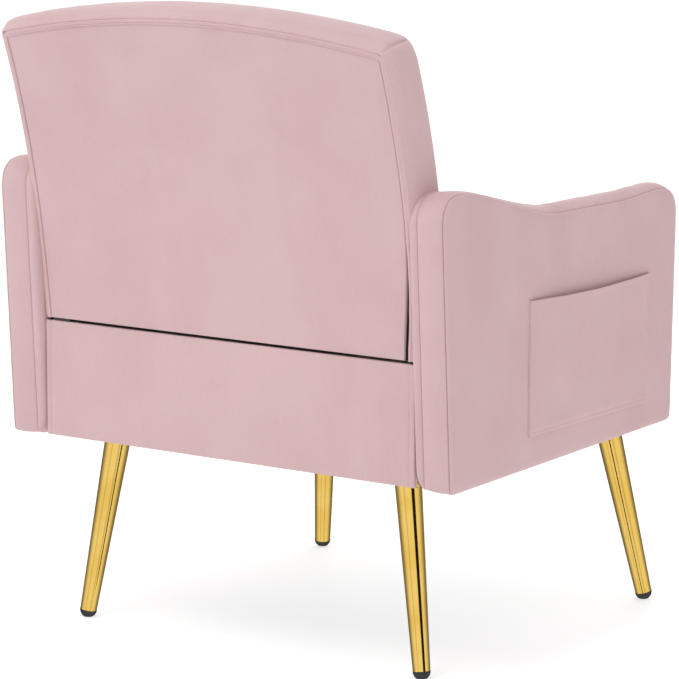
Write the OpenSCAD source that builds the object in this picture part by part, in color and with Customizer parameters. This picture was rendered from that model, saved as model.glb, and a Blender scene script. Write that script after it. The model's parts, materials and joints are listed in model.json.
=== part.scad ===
// Upholstered armchair: timber frame, padded arms with side pockets, a leaning
// back with a zip-fastened access flap, a loose seat cushion and four raked
// metal legs. Millimetres. Z is up, the chair faces -Y, and its left is +X.
// The origin is on the floor at the middle of the chair's box.

/* [Chair] */
// Width over the two arms
chair_w = 700; // [660:1:760]
// Height of the upholstered underside above the floor
base_z = 250; // [220:1:270]
// Thickness of the cover fabric
cloth_t = 2; // [1:0.5:3]

/* [Arms] */
// Thickness of an arm over its fabric
arm_t = 58; // [50:1:70]
// Length of an arm along its lower edge
arm_len = 500; // [480:1:510]
// Height of the lowest part of the arm's top seam
arm_dip_z = 563; // [550:1:580]
// Rise of the arm's top towards the front
arm_front_rise = 7; // [0:1:12]
// Rise of the arm's top towards the back
arm_rear_rise = 45; // [30:1:50]
// Radius of the rounded top corners
arm_corner_r = 30; // [24:1:36]
// Lift of the arm's lower edge at its front end
arm_toe_rise = 17; // [0:1:24]
// Foam thickness round the arm's frame
arm_foam = 12; // [8:1:12]
// Height of an arm frame's rails
arm_rail_h = 56; // [45:1:60]
// Width of an arm frame's posts
arm_post_w = 50; // [40:1:60]

/* [Side pockets] */
// Length of a pocket
pocket_len = 268; // [200:1:280]
// Height of a pocket
pocket_h = 167; // [140:1:180]
// How far a pocket stands off the arm
pocket_d = 7.4; // [7:0.1:10]
// Thickness of a pocket's wall
pocket_t = 1.6; // [1:0.1:2]
// Forward shift of a pocket's middle
pocket_y = -47; // [-60:1:-40]
// Height of a pocket's lower edge
pocket_z = 298; // [290:1:310]

/* [Seat] */
// Distance from the origin to the seat's front face
seat_front = 319; // [312:1:325]
// Thickness of the seat rails
rail_t = 24; // [20:1:26]
// Height of the front and side seat rails
rail_h = 74; // [66:1:80]
// Height of the back seat rail
back_rail_h = 144; // [140:1:145]
// Thickness of the loose cushion
cushion_h = 112; // [90:1:120]
// Number of zigzag springs
spring_count = 5; // [4:1:6]
// Radius of the spring wire
spring_r = 1.8; // [1.5:0.1:2]
// Distance from one bar of a zigzag spring to the next
spring_pitch = 23.5; // [23.3:0.1:24]

/* [Back] */
// Front-to-back thickness of the back
back_t = 60; // [56:1:64]
// Half width of the back between the arms
back_half_low = 290; // [288:1:291]
// Half width of the back above the arms
back_half_high = 297; // [292:1:300]
// Height of the flap's lower edge
back_seam_z = 403; // [400:1:406]
// Height of the back's arched top at its middle
back_top_z = 826; // [800:1:840]
// Drop of the arched top over the back's half width
back_arch = 30; // [10:1:45]
// Radius of the back's top corners
back_corner_r = 24; // [15:1:40]
// Lean of the back's front face near the seat, run over rise
front_lean = 0.04; // [0:0.01:0.06]
// Height at which the back's front face starts to curve away
front_bend_z = 480; // [450:1:520]
// How fast the front face curves away above that height, run over rise squared
front_curve = 0.00057; // [0.0004:0.00001:0.0006]
// Lean of the back's rear face, run over rise
rear_lean = 0.05; // [0.02:0.01:0.1]
// Height at which the back's rear face starts to curve away
rear_bend_z = 440; // [420:1:480]
// How fast the rear face curves away above that height, run over rise squared
rear_curve = 0.00047; // [0.0004:0.00001:0.0006]
// Tilt of the back's top face
back_top_tilt = 15; // [8:1:20]

/* [Legs] */
// Radius of a leg at its top
leg_top_r = 17; // [15:0.5:19]
// Radius of a leg at its foot
leg_foot_r = 11; // [9:0.5:13]
// Sideways place of the rear legs' tops
rear_leg_x = 231; // [215:1:235]
// Depth place of the rear legs' tops
rear_leg_y = 177; // [170:1:182]
// Sideways place of the front legs' tops
front_leg_x = 232; // [215:1:235]
// Distance of the front legs' tops in front of the origin
front_leg_y = 279; // [270:1:282]
// Outward run of a leg over its height
leg_splay = 39; // [20:1:45]
// Backward run of a rear leg over its height
rear_leg_run = 23; // [10:1:35]
// Forward run of a front leg over its height
front_leg_run = 43; // [20:1:45]

/* [Hidden] */
$fn = 48;

far = 1000;                       // larger than the chair, for cutting tools
slack = 0.3;                      // gap left between pieces that only meet
arm_out = chair_w / 2;            // outer face of an arm
arm_in = arm_out - arm_t;         // inner face of an arm
arm_end = arm_len / 2;            // end of an arm's lower edge
arm_rear_lean = 0.055;            // lean of an arm's rear edge, run over rise
arm_front_lean = 0.03;            // lean of an arm's front edge, run over rise
frame_in = arm_foam + cloth_t;    // depth of an arm's frame under its fabric
arm_frame_x = arm_in + frame_in;  // inner face of an arm's frame
arm_frame_t = arm_t - 2 * frame_in;
arm_rear_post_y = arm_end - frame_in - arm_post_w;
arm_front_post_y = -arm_end + frame_in + arm_post_w;

box_x = 286;                      // outer face of the seat's side rails
band_x = 290;                     // outer face of the seat's fabric band
rail_z = base_z + 2;              // underside of the seat rails
rail_top = rail_z + rail_h;       // top of the front and side rails
front_pad_t = 6;                  // fibre pad in front of the front rail
front_rail_y = -seat_front + cloth_t + front_pad_t;
board_t = 20;                     // thickness of the back's boards
back_face_y = 250;                // rear face of the chair at the flap's seam
board_y = back_face_y - 32;       // front face of the back rail
side_rail_end = board_y;          // rear end of the side rails
cross_y = 186;                    // front face of the cross rail
block_leg = 90;                   // length of a corner block along a rail
block_h = 40;                     // height of a corner block

wire_z = rail_top + 2.8;          // middle of the spring wire
spring_bars = 22;                 // straight bars in each zigzag spring
spring_y0 = front_rail_y + 9;     // first bar of each spring
spring_y1 = spring_y0 + (spring_bars - 1) * spring_pitch;
spring_half = 22;                 // half length of a spring's bar
spring_gap = 104;                 // distance from one spring to the next
deck_z = wire_z + spring_r + 0.4; // underside of the deck pad
deck_t = 8;                       // thickness of the deck pad

cushion_z = deck_z + deck_t + 0.4;
cushion_x = arm_in - 4;           // half width of the loose cushion
cushion_rear = back_face_y - back_t - 4;
cushion_r = 26;                   // radius of the cushion's upright corners
cushion_zip_z = cushion_z + 50;   // middle of the cushion's zip

stile_w = 44;                     // width of a back stile
back_board_x = 280;               // outer edge of the back's boards
board_front = 28;                 // depth of the boards behind the back's front
board_rear = board_front + board_t;
back_core = board_rear + 2;       // depth of the back's boards and edge foam
top_rail_z = 716;                 // underside of the back's top rail
bottom_rail_h = 40;               // height of the back's bottom rail
bottom_rail_z = back_seam_z - 5;  // underside of the back's bottom rail
back_low_z = deck_z + deck_t + 4; // lower end of the back's front foam
back_step = 18;                   // height between points on the back's curve

slot_half = 1.7;                  // half the open gap that shows a zip
tape_half = 12;                   // half width of a zip's tape
tape_t = 0.8;                     // thickness of a zip's tape
chain_half = 2.6;                 // half width of a closed chain
chain_t = 2.4;                    // thickness of a chain
chain_split = 0.65;               // half the slit between the two rows
chain_in = 6.2;                   // depth of a chain's middle under the fabric
back_zip_x = 286;                 // end of the back zip's level run
back_zip_top = 575;               // top of the back zip's upright run
cushion_zip_x = 240;              // end of the cushion's zip
slider_len = 9;                   // length of a slider

bolt_r = 4;                       // all bolts and studs are 8 mm
bolt_gap = 0.25;                  // clearance of a bolt in its hole
head_r = 7.5;                     // radius of a bolt's round head
head_t = 5;                       // thickness of a bolt's head
arm_bolt_z = rail_z + 42;         // height of the bolts into the arms
arm_bolt_ys = [-150, -35, 80];    // places of the bolts into each arm
tee_r = 11;                       // radius of a tee nut's flange
tee_t = 1.5;                      // thickness of a tee nut's flange
tee_len = 12;                     // length of a tee nut's barrel
tee_barrel_r = 5.2;               // outer radius of a tee nut's barrel
back_bolt_xs = [-200, 0, 200];    // places of the bolts under the back
back_bolt_y = board_y + board_t / 2;
barrel_z = rail_z + 100;          // height of the barrel nuts
barrel_r = 6;                     // radius of a barrel nut

plate_w = 60;                     // width of a leg plate
plate_t = 3;                      // thickness of a leg plate
screw_at = 22;                    // distance of a screw from the plate's middle
screw_r = 2;                      // radius of a wood screw
screw_len = 26;                   // length of a wood screw
screw_head_r = 4;                 // radius of a wood screw's head
screw_head_t = 2;                 // height of a wood screw's head
leg_top_z = rail_z - plate_t;     // top of the legs
tube_t = 1.5;                     // wall of a leg's tube
foot_z = 9.5;                     // height of the ball of a foot cap
foot_r = leg_foot_r + 0.35;       // radius of the ball of a foot cap
stud_up = 24;                     // length of a stud above the leg
stud_down = 18;                   // length of a stud inside the leg

wood = "burlywood";
velvet = [0.82, 0.71, 0.72];
foam = [0.95, 0.91, 0.75];
fibre = [0.93, 0.93, 0.9];
gold = [0.85, 0.66, 0.25];
steel = [0.6, 0.6, 0.62];
black = [0.08, 0.08, 0.08];

// ---- curves and shared shapes ----

// A smooth step from 0 to 1 as t goes from 0 to 1
function smooth(t) = let (c = max(0, min(1, t))) c * c * (3 - 2 * c);

// Points on an arc, from angle a0 to a1
function arc(cx, cy, r, a0, a1, n = 8) =
    [for (i = [0:n]) let (a = a0 + (a1 - a0) * i / n) [cx + r * cos(a), cy + r * sin(a)]];

// Height of an arm's top seam at depth y: a dip between a front and a rear rise
function arm_top(y) = arm_dip_z + arm_front_rise * smooth((-y - 120) / 110)
    + arm_rear_rise * smooth((y - 10) / 230);

// Height of an arm's lower edge at depth y
function arm_low(y) = base_z + arm_toe_rise * (arm_end - y) / arm_len;

// Side outline of an arm, set in by inset at its edges and by low_inset below
function arm_outline(inset, low_inset) =
    let (
        r = arm_corner_r,
        rear_z = arm_dip_z + arm_rear_rise - r,
        front_z = arm_dip_z + arm_front_rise - r,
        rear_y = arm_end + arm_rear_lean * (rear_z - base_z) - r,
        front_y = -arm_end - arm_front_lean * (front_z - base_z) + r,
        last = 22
    )
    concat(
        [[-arm_end + inset, arm_low(-arm_end + inset) + low_inset],
         [arm_end - inset, arm_low(arm_end - inset) + low_inset]],
        arc(rear_y, rear_z, r - inset, 0, 90),
        [for (i = [1:last - 1]) let (y = rear_y + (front_y - rear_y) * i / last)
            [y, arm_top(y) - inset]],
        arc(front_y, front_z, r - inset, 90, 180)
    );

// Depth of the back's front face at height z
function back_front(z) = back_face_y - back_t + front_lean * max(0, z - back_seam_z)
    + front_curve * pow(max(0, z - front_bend_z), 2);
// Depth of the back's rear face at height z
function back_rear(z) = back_face_y + rear_lean * max(0, z - back_seam_z)
    + rear_curve * pow(max(0, z - rear_bend_z), 2);
// Depth of a layer at height z: layers up to the boards follow the front face, and the
// rest follow the rear face
function layer_y(z, depth) = depth <= back_core ? back_front(z) + depth
    : back_rear(z) - back_t + depth;

// An outline in Y and Z, extruded along X from x0 to x1
module along_x(x0, x1) {
    translate([x0, 0, 0]) rotate([90, 0, 90]) linear_extrude(x1 - x0) children();
}

// Heights at which a layer's curve has a point, the same for all layers above z0
function back_heights(z0) = concat([z0],
    [for (z = [back_seam_z:back_step:back_top_z + 2 * back_step]) if (z > z0 + slack) z]);

// A layer of the back between two depths, from z0 up
module back_layer(from_depth, to_depth, z0) {
    zs = back_heights(z0);
    along_x(-far, far) polygon(concat(
        [for (z = zs) [layer_y(z, to_depth), z]],
        [for (i = [len(zs) - 1:-1:0]) [layer_y(zs[i], from_depth), zs[i]]]
    ));
}

// The back's outline seen from the front, with an arched top, set in by inset
module back_outline(inset) {
    r = max(4, back_corner_r - inset);
    low = back_half_low - inset;
    high = back_half_high - inset;
    top = back_top_z - inset;
    corner_top = top - back_arch * pow((high - r) / back_half_high, 2);
    n = 24;
    polygon(concat(
        [[-low, 200], [low, 200], [low, 612], [high, 640]],
        arc(high - r, corner_top - r, r, 0, 84),
        [for (i = [1:n - 1]) let (x = (high - r) * (1 - 2 * i / n))
            [x, top - back_arch * pow(x / back_half_high, 2)]],
        arc(-high + r, corner_top - r, r, 96, 180),
        [[-high, 640], [-low, 612]]
    ));
}

// The space inside the back's outline, square to its tilted top face
module back_space(inset) {
    pivot = [0, back_front(back_top_z), back_top_z];
    translate(pivot) rotate([-back_top_tilt, 0, 0]) translate(-pivot)
        translate([0, far, 0]) rotate([90, 0, 0]) linear_extrude(2 * far) back_outline(inset);
}

module keep_above(z) {
    translate([-far, -far, z]) cube([2 * far, 2 * far, far]);
}

module left_and_right() {
    children();
    mirror([1, 0, 0]) children();
}

module x_hole(y, z, r) {
    translate([-far, y, z]) rotate([0, 90, 0]) cylinder(h = 2 * far, r = r);
}

module arm_bolt_holes(r = bolt_r + bolt_gap) {
    for (y = arm_bolt_ys) x_hole(y, arm_bolt_z, r);
}

module bar(x0, x1, y0, y1, z0, z1) {
    translate([x0, y0, z0]) cube([x1 - x0, y1 - y0, z1 - z0]);
}

// ---- legs ----

// The four legs: place of the top and sideways and depth run down to the foot
leg_spots = [
    [front_leg_x, -front_leg_y, leg_splay, -front_leg_run],
    [-front_leg_x, -front_leg_y, -leg_splay, -front_leg_run],
    [rear_leg_x, rear_leg_y, leg_splay, rear_leg_run],
    [-rear_leg_x, rear_leg_y, -leg_splay, rear_leg_run]
];

// Puts the children in a leg's own frame: origin at its top, +Z down its axis
module on_leg(spot) {
    fall = leg_top_z;
    run = sqrt(spot[2] * spot[2] + spot[3] * spot[3]);
    translate([spot[0], spot[1], leg_top_z])
        rotate([0, 180 - atan2(run, fall), atan2(spot[3], spot[2])]) children();
}

// Length along a leg's axis from its top to the ball of its foot
function leg_axis(spot) = (leg_top_z - foot_z)
    * sqrt(spot[2] * spot[2] + spot[3] * spot[3] + leg_top_z * leg_top_z) / leg_top_z;

// A tapered tube with a short straight collar, cut level with the underside
module leg(spot) {
    len = leg_axis(spot);
    collar = 8;
    difference() {
        on_leg(spot) union() {
            translate([0, 0, -collar]) cylinder(h = 2 * collar, r = leg_top_r);
            translate([0, 0, collar]) cylinder(h = len - collar, r1 = leg_top_r, r2 = leg_foot_r);
        }
        on_leg(spot) translate([0, 0, stud_down + 2])
            cylinder(h = len, r1 = leg_top_r - tube_t - 0.4, r2 = leg_foot_r - tube_t - 0.5);
        on_leg(spot) translate([0, 0, -collar - 1])
            cylinder(h = collar + stud_down + 2, r = bolt_r + 0.05);
        translate([-far, -far, leg_top_z]) cube([2 * far, 2 * far, far]);
    }
}

module foot_cap(spot) {
    len = leg_axis(spot);
    plug_len = 12;
    plug_r = leg_foot_r - tube_t - 0.7;
    difference() {
        union() {
            on_leg(spot) translate([0, 0, len]) difference() {
                sphere(r = foot_r);
                translate([-far, -far, -2 * far]) cube([2 * far, 2 * far, 2 * far]);
            }
            on_leg(spot) translate([0, 0, len - plug_len]) cylinder(h = plug_len + 1, r = plug_r);
        }
        translate([-far, -far, -far]) cube([2 * far, 2 * far, far]);
    }
}

module stud(spot, r = bolt_r) {
    on_leg(spot) translate([0, 0, -stud_up]) cylinder(h = stud_up + stud_down, r = r);
}

module leg_plate(spot) {
    difference() {
        translate([spot[0], spot[1], leg_top_z + plate_t / 2]) cube([plate_w, plate_w, plate_t], center = true);
        stud(spot, bolt_r + 0.1);
        screw_holes(spot, screw_r + 0.2);
    }
}

module at_screws(spot) {
    for (sx = [-1, 1])
        for (sy = [-1, 1])
            translate([spot[0] + sx * screw_at, spot[1] + sy * screw_at, leg_top_z]) children();
}

module screw_holes(spot, r) {
    at_screws(spot) translate([0, 0, -1]) cylinder(h = screw_len + 2, r = r);
}

// What the studs and screws need cut out of the timber above the plates
module leg_fixing_holes() {
    for (spot = leg_spots) {
        stud(spot, bolt_r + 1);
        on_leg(spot) translate([0, 0, -stud_up - 2]) cylinder(h = 4, r = bolt_r + 1);
        screw_holes(spot, screw_r + 0.05);
    }
}

// ---- zips ----
// A zip's own frame: X along the chain, Y out of the fabric's outer face

module zip_run(half_len) {
    for (side = [-1, 1]) mirror([0, 0, side < 0 ? 1 : 0]) {
        bar(-half_len, half_len, -chain_in - tape_t / 2, -chain_in + tape_t / 2,
            chain_half - 0.2, tape_half);
        bar(-half_len, half_len, -chain_in - chain_t / 2, -chain_in + chain_t / 2,
            chain_split, chain_half);
    }
}

module zip_slider() {
    plate = 1.1;
    half = 4;
    lip = 1;
    tab = 20;
    near = -chain_in + chain_t / 2 + slack;
    deep = -chain_in - chain_t / 2 - slack;
    bar(-slider_len / 2, slider_len / 2, near, near + plate, -half, half);
    bar(-slider_len / 2, slider_len / 2, deep - plate, deep, -half, half);
    bar(-1.5, 1.5, deep - plate / 2, near + plate / 2, -chain_split + 0.25, chain_split - 0.25);
    for (side = [-1, 1]) mirror([0, 0, side < 0 ? 1 : 0]) {
        bar(-slider_len / 2, slider_len / 2, near - lip, near + plate, half - 0.9, half);
        bar(-slider_len / 2, slider_len / 2, deep - plate, deep + lip, half - 0.9, half);
    }
    bar(-slider_len / 2 - tab, 0, near + plate - 0.2, near + plate + 1, -2.4, 2.4);
}

// ---- arms, drawn for the left side ----

// A slice of the arm frame's board, kept between two depths and two heights
module arm_board(y0, y1, z0, z1) {
    difference() {
        intersection() {
            along_x(arm_frame_x, arm_frame_x + arm_frame_t) polygon(arm_outline(frame_in, cloth_t));
            bar(0, far, y0, y1, z0, z1);
        }
        arm_bolt_holes();
        for (y = arm_bolt_ys) {
            translate([arm_frame_x + arm_frame_t - tee_len, y, arm_bolt_z])
                rotate([0, 90, 0]) cylinder(h = far, r = tee_barrel_r + 0.1);
            translate([arm_frame_x + arm_frame_t - tee_t, y, arm_bolt_z])
                rotate([0, 90, 0]) cylinder(h = far, r = tee_r + 0.3);
        }
    }
}

module arm_posts() {
    arm_board(arm_rear_post_y, far, 0, far);
    arm_board(-far, arm_front_post_y, 0, far);
}

module arm_rails() {
    low = arm_low(-arm_end) + cloth_t + arm_rail_h;
    arm_board(arm_front_post_y, arm_rear_post_y, 0, low);
    arm_board(arm_front_post_y, arm_rear_post_y, arm_dip_z - frame_in - arm_rail_h, far);
}

module arm_padding() {
    difference() {
        along_x(arm_in + cloth_t, arm_out - cloth_t) polygon(arm_outline(cloth_t, cloth_t));
        along_x(arm_frame_x, arm_frame_x + arm_frame_t) polygon(arm_outline(frame_in, -20));
        arm_bolt_holes_inside();
    }
}

// Bolt holes that stop before the arm's outer side
module arm_bolt_holes_inside() {
    intersection() {
        arm_bolt_holes();
        bar(0, arm_frame_x + 5, -far, far, 0, far);
    }
}

module arm_outer_panel() {
    along_x(arm_out - cloth_t, arm_out) polygon(arm_outline(0, 0));
}

module arm_inner_panel() {
    difference() {
        along_x(arm_in, arm_in + cloth_t) polygon(arm_outline(0, 0));
        arm_bolt_holes_inside();
    }
}

module arm_boxing() {
    along_x(arm_in + cloth_t, arm_out - cloth_t) difference() {
        polygon(arm_outline(0, 0));
        polygon(arm_outline(cloth_t, cloth_t));
    }
}

// A patch pocket open at its top
module pocket() {
    y0 = pocket_y - pocket_len / 2;
    y1 = pocket_y + pocket_len / 2;
    difference() {
        bar(arm_out, arm_out + pocket_d, y0, y1, pocket_z, pocket_z + pocket_h);
        bar(arm_out - 1, arm_out + pocket_d - pocket_t, y0 + pocket_t, y1 - pocket_t,
            pocket_z + pocket_t, far);
    }
}

// ---- seat base ----

module front_rail() {
    color(wood) difference() {
        bar(-box_x, box_x, front_rail_y, front_rail_y + rail_t, rail_z, rail_top);
        leg_fixing_holes();
    }
}

module back_rail() {
    color(wood) difference() {
        bar(-box_x, box_x, board_y, board_y + board_t, rail_z, rail_z + back_rail_h);
        for (x = back_bolt_xs) {
            translate([x, back_bolt_y, barrel_z - 20]) cylinder(h = far, r = bolt_r + bolt_gap);
            translate([x, -far, barrel_z]) rotate([-90, 0, 0]) cylinder(h = 2 * far, r = barrel_r + 0.1);
        }
    }
}

module left_side_rail() {
    color(wood) difference() {
        bar(box_x - rail_t, box_x, front_rail_y + rail_t, side_rail_end, rail_z, rail_top);
        arm_bolt_holes();
    }
}

module right_side_rail() {
    mirror([1, 0, 0]) left_side_rail();
}

module cross_rail() {
    half = box_x - rail_t;
    color(wood) difference() {
        bar(-half, half, cross_y, cross_y + rail_t, rail_z, rail_top);
        leg_fixing_holes();
    }
}

module corner_blocks() {
    corner_x = box_x - rail_t;
    front_y = front_rail_y + rail_t;
    color(wood) difference() {
        left_and_right() translate([0, 0, rail_z]) {
            linear_extrude(block_h) polygon([
                [corner_x, front_y], [corner_x, front_y + block_leg], [corner_x - block_leg, front_y]]);
            linear_extrude(block_h) polygon([
                [corner_x, cross_y], [corner_x - block_leg, cross_y], [corner_x, cross_y - block_leg]]);
        }
        leg_fixing_holes();
    }
}

module zigzag_spring() {
    r = spring_pitch / 2;
    for (i = [0:spring_bars - 1]) {
        y = spring_y0 + i * spring_pitch;
        side = i % 2 == 0 ? 1 : -1;
        translate([-spring_half, y, wire_z]) rotate([0, 90, 0]) cylinder(h = 2 * spring_half, r = spring_r);
        if (i < spring_bars - 1)
            translate([side * spring_half, y + r, wire_z]) rotate([0, 0, side > 0 ? -90 : 90])
                rotate_extrude(angle = 180) translate([r, 0]) circle(r = spring_r);
    }
}

module at_springs() {
    for (i = [0:spring_count - 1])
        translate([(i - (spring_count - 1) / 2) * spring_gap, 0, 0]) children();
}

module seat_springs() {
    color(steel) at_springs() zigzag_spring();
}

module spring_clips() {
    clip_w = 20;
    clip_d = 6;
    color(steel) difference() {
        at_springs() for (y = [spring_y0, spring_y1])
            bar(-clip_w / 2, clip_w / 2, y - clip_d / 2, y + clip_d / 2, rail_top, deck_z - 0.1);
        for (y = [spring_y0, spring_y1]) x_hole(y, wire_z, spring_r + 0.1);
    }
}

module deck_pad() {
    half = box_x - 4;
    color(fibre) bar(-half, half, front_rail_y, cushion_rear, deck_z, deck_z + deck_t);
}

module front_padding() {
    color(fibre) bar(-box_x, box_x, -seat_front + cloth_t, front_rail_y, rail_z, deck_z + deck_t);
}

// The fabric band round the front and sides, with a narrow fold underneath
module seat_band_cover() {
    fold = 8;
    top = deck_z + deck_t;
    color(velvet) difference() {
        union() {
            difference() {
                bar(-band_x, band_x, -seat_front, side_rail_end, base_z, top);
                bar(-band_x + cloth_t, band_x - cloth_t, -seat_front + cloth_t, far, 0, far);
            }
            difference() {
                bar(-band_x, band_x, -seat_front, side_rail_end, base_z, base_z + cloth_t - slack);
                bar(-band_x + fold, band_x - fold, -seat_front + fold, far, 0, far);
            }
        }
        arm_bolt_holes();
    }
}

module dust_cover() {
    half = box_x - 6;
    cloth = 0.8;
    color(black) difference() {
        bar(-half, half, front_rail_y + 2, board_y + board_t, rail_z - cloth, rail_z);
        for (spot = leg_spots)
            translate([spot[0], spot[1], rail_z]) cube([plate_w + 2, plate_w + 2, 10], center = true);
    }
}

module rear_rail_padding() {
    color(fibre) bar(-box_x, box_x, board_y + board_t, back_face_y - cloth_t, rail_z,
        back_seam_z - tape_half - 1);
}

module rear_rail_panel() {
    color(velvet) bar(-band_x, band_x, back_face_y - cloth_t, back_face_y, base_z, back_seam_z - slot_half);
}

// ---- loose seat cushion ----

// The cushion's outline from above, rounded in front and nearly square behind
module cushion_outline(inset) {
    r = cushion_r - inset;
    x = cushion_x - cushion_r;
    y = -seat_front + cushion_r;
    rear = cushion_rear - inset;
    polygon(concat(
        arc(-x, y, r, 180, 270), arc(x, y, r, 270, 360),
        [[cushion_x - inset, rear], [-cushion_x + inset, rear]]
    ));
}

module cushion_slab(inset, z0, z1) {
    translate([0, 0, z0]) linear_extrude(z1 - z0) cushion_outline(inset);
}

module at_cushion_zip() {
    translate([0, cushion_rear, cushion_zip_z]) children();
}

module cushion_core() {
    channel = 12;
    color(foam) difference() {
        cushion_slab(cloth_t, cushion_z + cloth_t, cushion_z + cushion_h - cloth_t);
        at_cushion_zip() bar(-cushion_zip_x - 3, cushion_zip_x + 3, -channel, 0, -tape_half - 1, tape_half + 1);
    }
}

module cushion_bottom_panel() {
    color(velvet) cushion_slab(0, cushion_z, cushion_z + cloth_t);
}

module cushion_top_panel() {
    color(velvet) cushion_slab(0, cushion_z + cushion_h - cloth_t, cushion_z + cushion_h);
}

module cushion_boxing() {
    color(velvet) difference() {
        cushion_slab(0, cushion_z + cloth_t, cushion_z + cushion_h - cloth_t);
        cushion_slab(cloth_t, cushion_z, cushion_z + cushion_h);
        at_cushion_zip() bar(-cushion_zip_x, cushion_zip_x, -10, 10, -slot_half, slot_half);
    }
}

module cushion_zip_tape() {
    color(black) at_cushion_zip() zip_run(cushion_zip_x);
}

module cushion_zip_slider() {
    color(black) at_cushion_zip() translate([cushion_zip_x - slider_len, 0, 0]) zip_slider();
}

// ---- back ----

module back_boards(z0, z1) {
    intersection() {
        back_layer(board_front, board_rear, bottom_rail_z);
        back_space(frame_in);
        bar(-back_board_x, back_board_x, -far, far, z0, z1);
    }
}

module back_stiles() {
    color(wood) intersection() {
        back_boards(bottom_rail_z + bottom_rail_h, top_rail_z);
        left_and_right() bar(back_board_x - stile_w, far, -far, far, 0, far);
    }
}

module back_top_rail() {
    color(wood) back_boards(top_rail_z, far);
}

module back_middle_rail() {
    z = 566;
    h = 36;
    half = back_board_x - stile_w;
    color(wood) intersection() {
        back_boards(z, z + h);
        bar(-half, half, -far, far, z, z + h);
    }
}

module back_bottom_rail() {
    color(wood) difference() {
        back_boards(bottom_rail_z, bottom_rail_z + bottom_rail_h);
        for (x = back_bolt_xs)
            translate([x, back_bolt_y, 0]) cylinder(h = far, r = bolt_r + bolt_gap);
    }
}

module back_webbing() {
    strap_w = 50;
    strap_gap = 105;
    color(black) intersection() {
        back_layer(board_front - 1.6, board_front - 0.1, bottom_rail_z + 6);
        back_space(40);
        for (i = [-2:2]) bar(i * strap_gap - strap_w / 2, i * strap_gap + strap_w / 2, -far, far, 0, far);
    }
}

module back_foam() {
    color(foam) intersection() {
        back_layer(cloth_t, board_front - 2, back_low_z);
        back_space(cloth_t);
    }
}

// The foam strip round the outer edges of the back's boards
module back_edge_foam() {
    color(foam) intersection() {
        back_layer(board_front - 2, back_core, bottom_rail_z);
        difference() {
            back_space(cloth_t);
            intersection() {
                back_space(frame_in);
                bar(-back_board_x, back_board_x, -far, far, 0, far);
            }
        }
    }
}

module back_rear_padding() {
    clear = 16;
    color(fibre) intersection() {
        back_layer(board_rear, back_t - cloth_t, back_seam_z + tape_half + 1);
        back_space(clear);
        bar(-back_half_low + clear, back_half_low - clear, -far, far, 0, far);
    }
}

module back_front_panel() {
    color(velvet) intersection() {
        back_layer(0, cloth_t, back_low_z);
        back_space(0);
    }
}

// The strip of fabric along the sides and over the arched top
module back_boxing() {
    color(velvet) intersection() {
        back_layer(cloth_t, back_t - cloth_t, bottom_rail_z);
        difference() {
            back_space(0);
            back_space(cloth_t);
        }
    }
}

module back_rear_panel() {
    color(velvet) intersection() {
        back_layer(back_t - cloth_t, back_t, back_seam_z + slot_half);
        back_space(0);
    }
}

// The level run of the zip and the tape that turns up the right edge
module back_zip_tape() {
    w = 9;
    color(black) {
        translate([0, back_face_y, back_seam_z]) zip_run(back_zip_x);
        intersection() {
            back_layer(back_t - chain_in - tape_t / 2, back_t - chain_in + tape_t / 2,
                back_seam_z + tape_half);
            bar(-back_zip_x, -back_zip_x + w, -far, far, 0, back_zip_top);
        }
    }
}

module back_zip_slider() {
    color(black) translate([back_zip_x - slider_len, back_face_y, back_seam_z]) zip_slider();
}

// ---- arms ----

module left_arm_posts() { color(wood) arm_posts(); }
module left_arm_rails() { color(wood) arm_rails(); }
module left_arm_padding() { color(foam) arm_padding(); }
module left_arm_outer_panel() { color(velvet) arm_outer_panel(); }
module left_arm_boxing() { color(velvet) arm_boxing(); }
module left_arm_inner_panel() { color(velvet) arm_inner_panel(); }
module left_arm_pocket() { color(velvet) pocket(); }
module right_arm_posts() { mirror([1, 0, 0]) left_arm_posts(); }
module right_arm_rails() { mirror([1, 0, 0]) left_arm_rails(); }
module right_arm_padding() { mirror([1, 0, 0]) left_arm_padding(); }
module right_arm_outer_panel() { mirror([1, 0, 0]) left_arm_outer_panel(); }
module right_arm_boxing() { mirror([1, 0, 0]) left_arm_boxing(); }
module right_arm_inner_panel() { mirror([1, 0, 0]) left_arm_inner_panel(); }
module right_arm_pocket() { mirror([1, 0, 0]) left_arm_pocket(); }

// ---- legs and fixings ----

module left_front_leg() { color(gold) leg(leg_spots[0]); }
module right_front_leg() { color(gold) leg(leg_spots[1]); }
module left_rear_leg() { color(gold) leg(leg_spots[2]); }
module right_rear_leg() { color(gold) leg(leg_spots[3]); }

module foot_caps() {
    color(black) for (spot = leg_spots) foot_cap(spot);
}

module leg_plates() {
    color(steel) for (spot = leg_spots) leg_plate(spot);
}

module leg_studs() {
    color(steel) for (spot = leg_spots) stud(spot);
}

module leg_screws() {
    color(steel) for (spot = leg_spots) at_screws(spot) {
        translate([0, 0, -screw_head_t]) cylinder(h = screw_head_t, r1 = screw_head_r - 1, r2 = screw_head_r);
        cylinder(h = screw_len, r = screw_r);
    }
}

module arm_bolts() {
    reach = arm_frame_x + arm_frame_t - tee_t - 1;
    head_x = box_x - rail_t;
    color(steel) left_and_right() for (y = arm_bolt_ys) translate([0, y, arm_bolt_z]) rotate([0, 90, 0]) {
        translate([0, 0, head_x - head_t]) cylinder(h = head_t, r = head_r);
        translate([0, 0, head_x - 1]) cylinder(h = reach - head_x + 1, r = bolt_r);
    }
}

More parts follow.
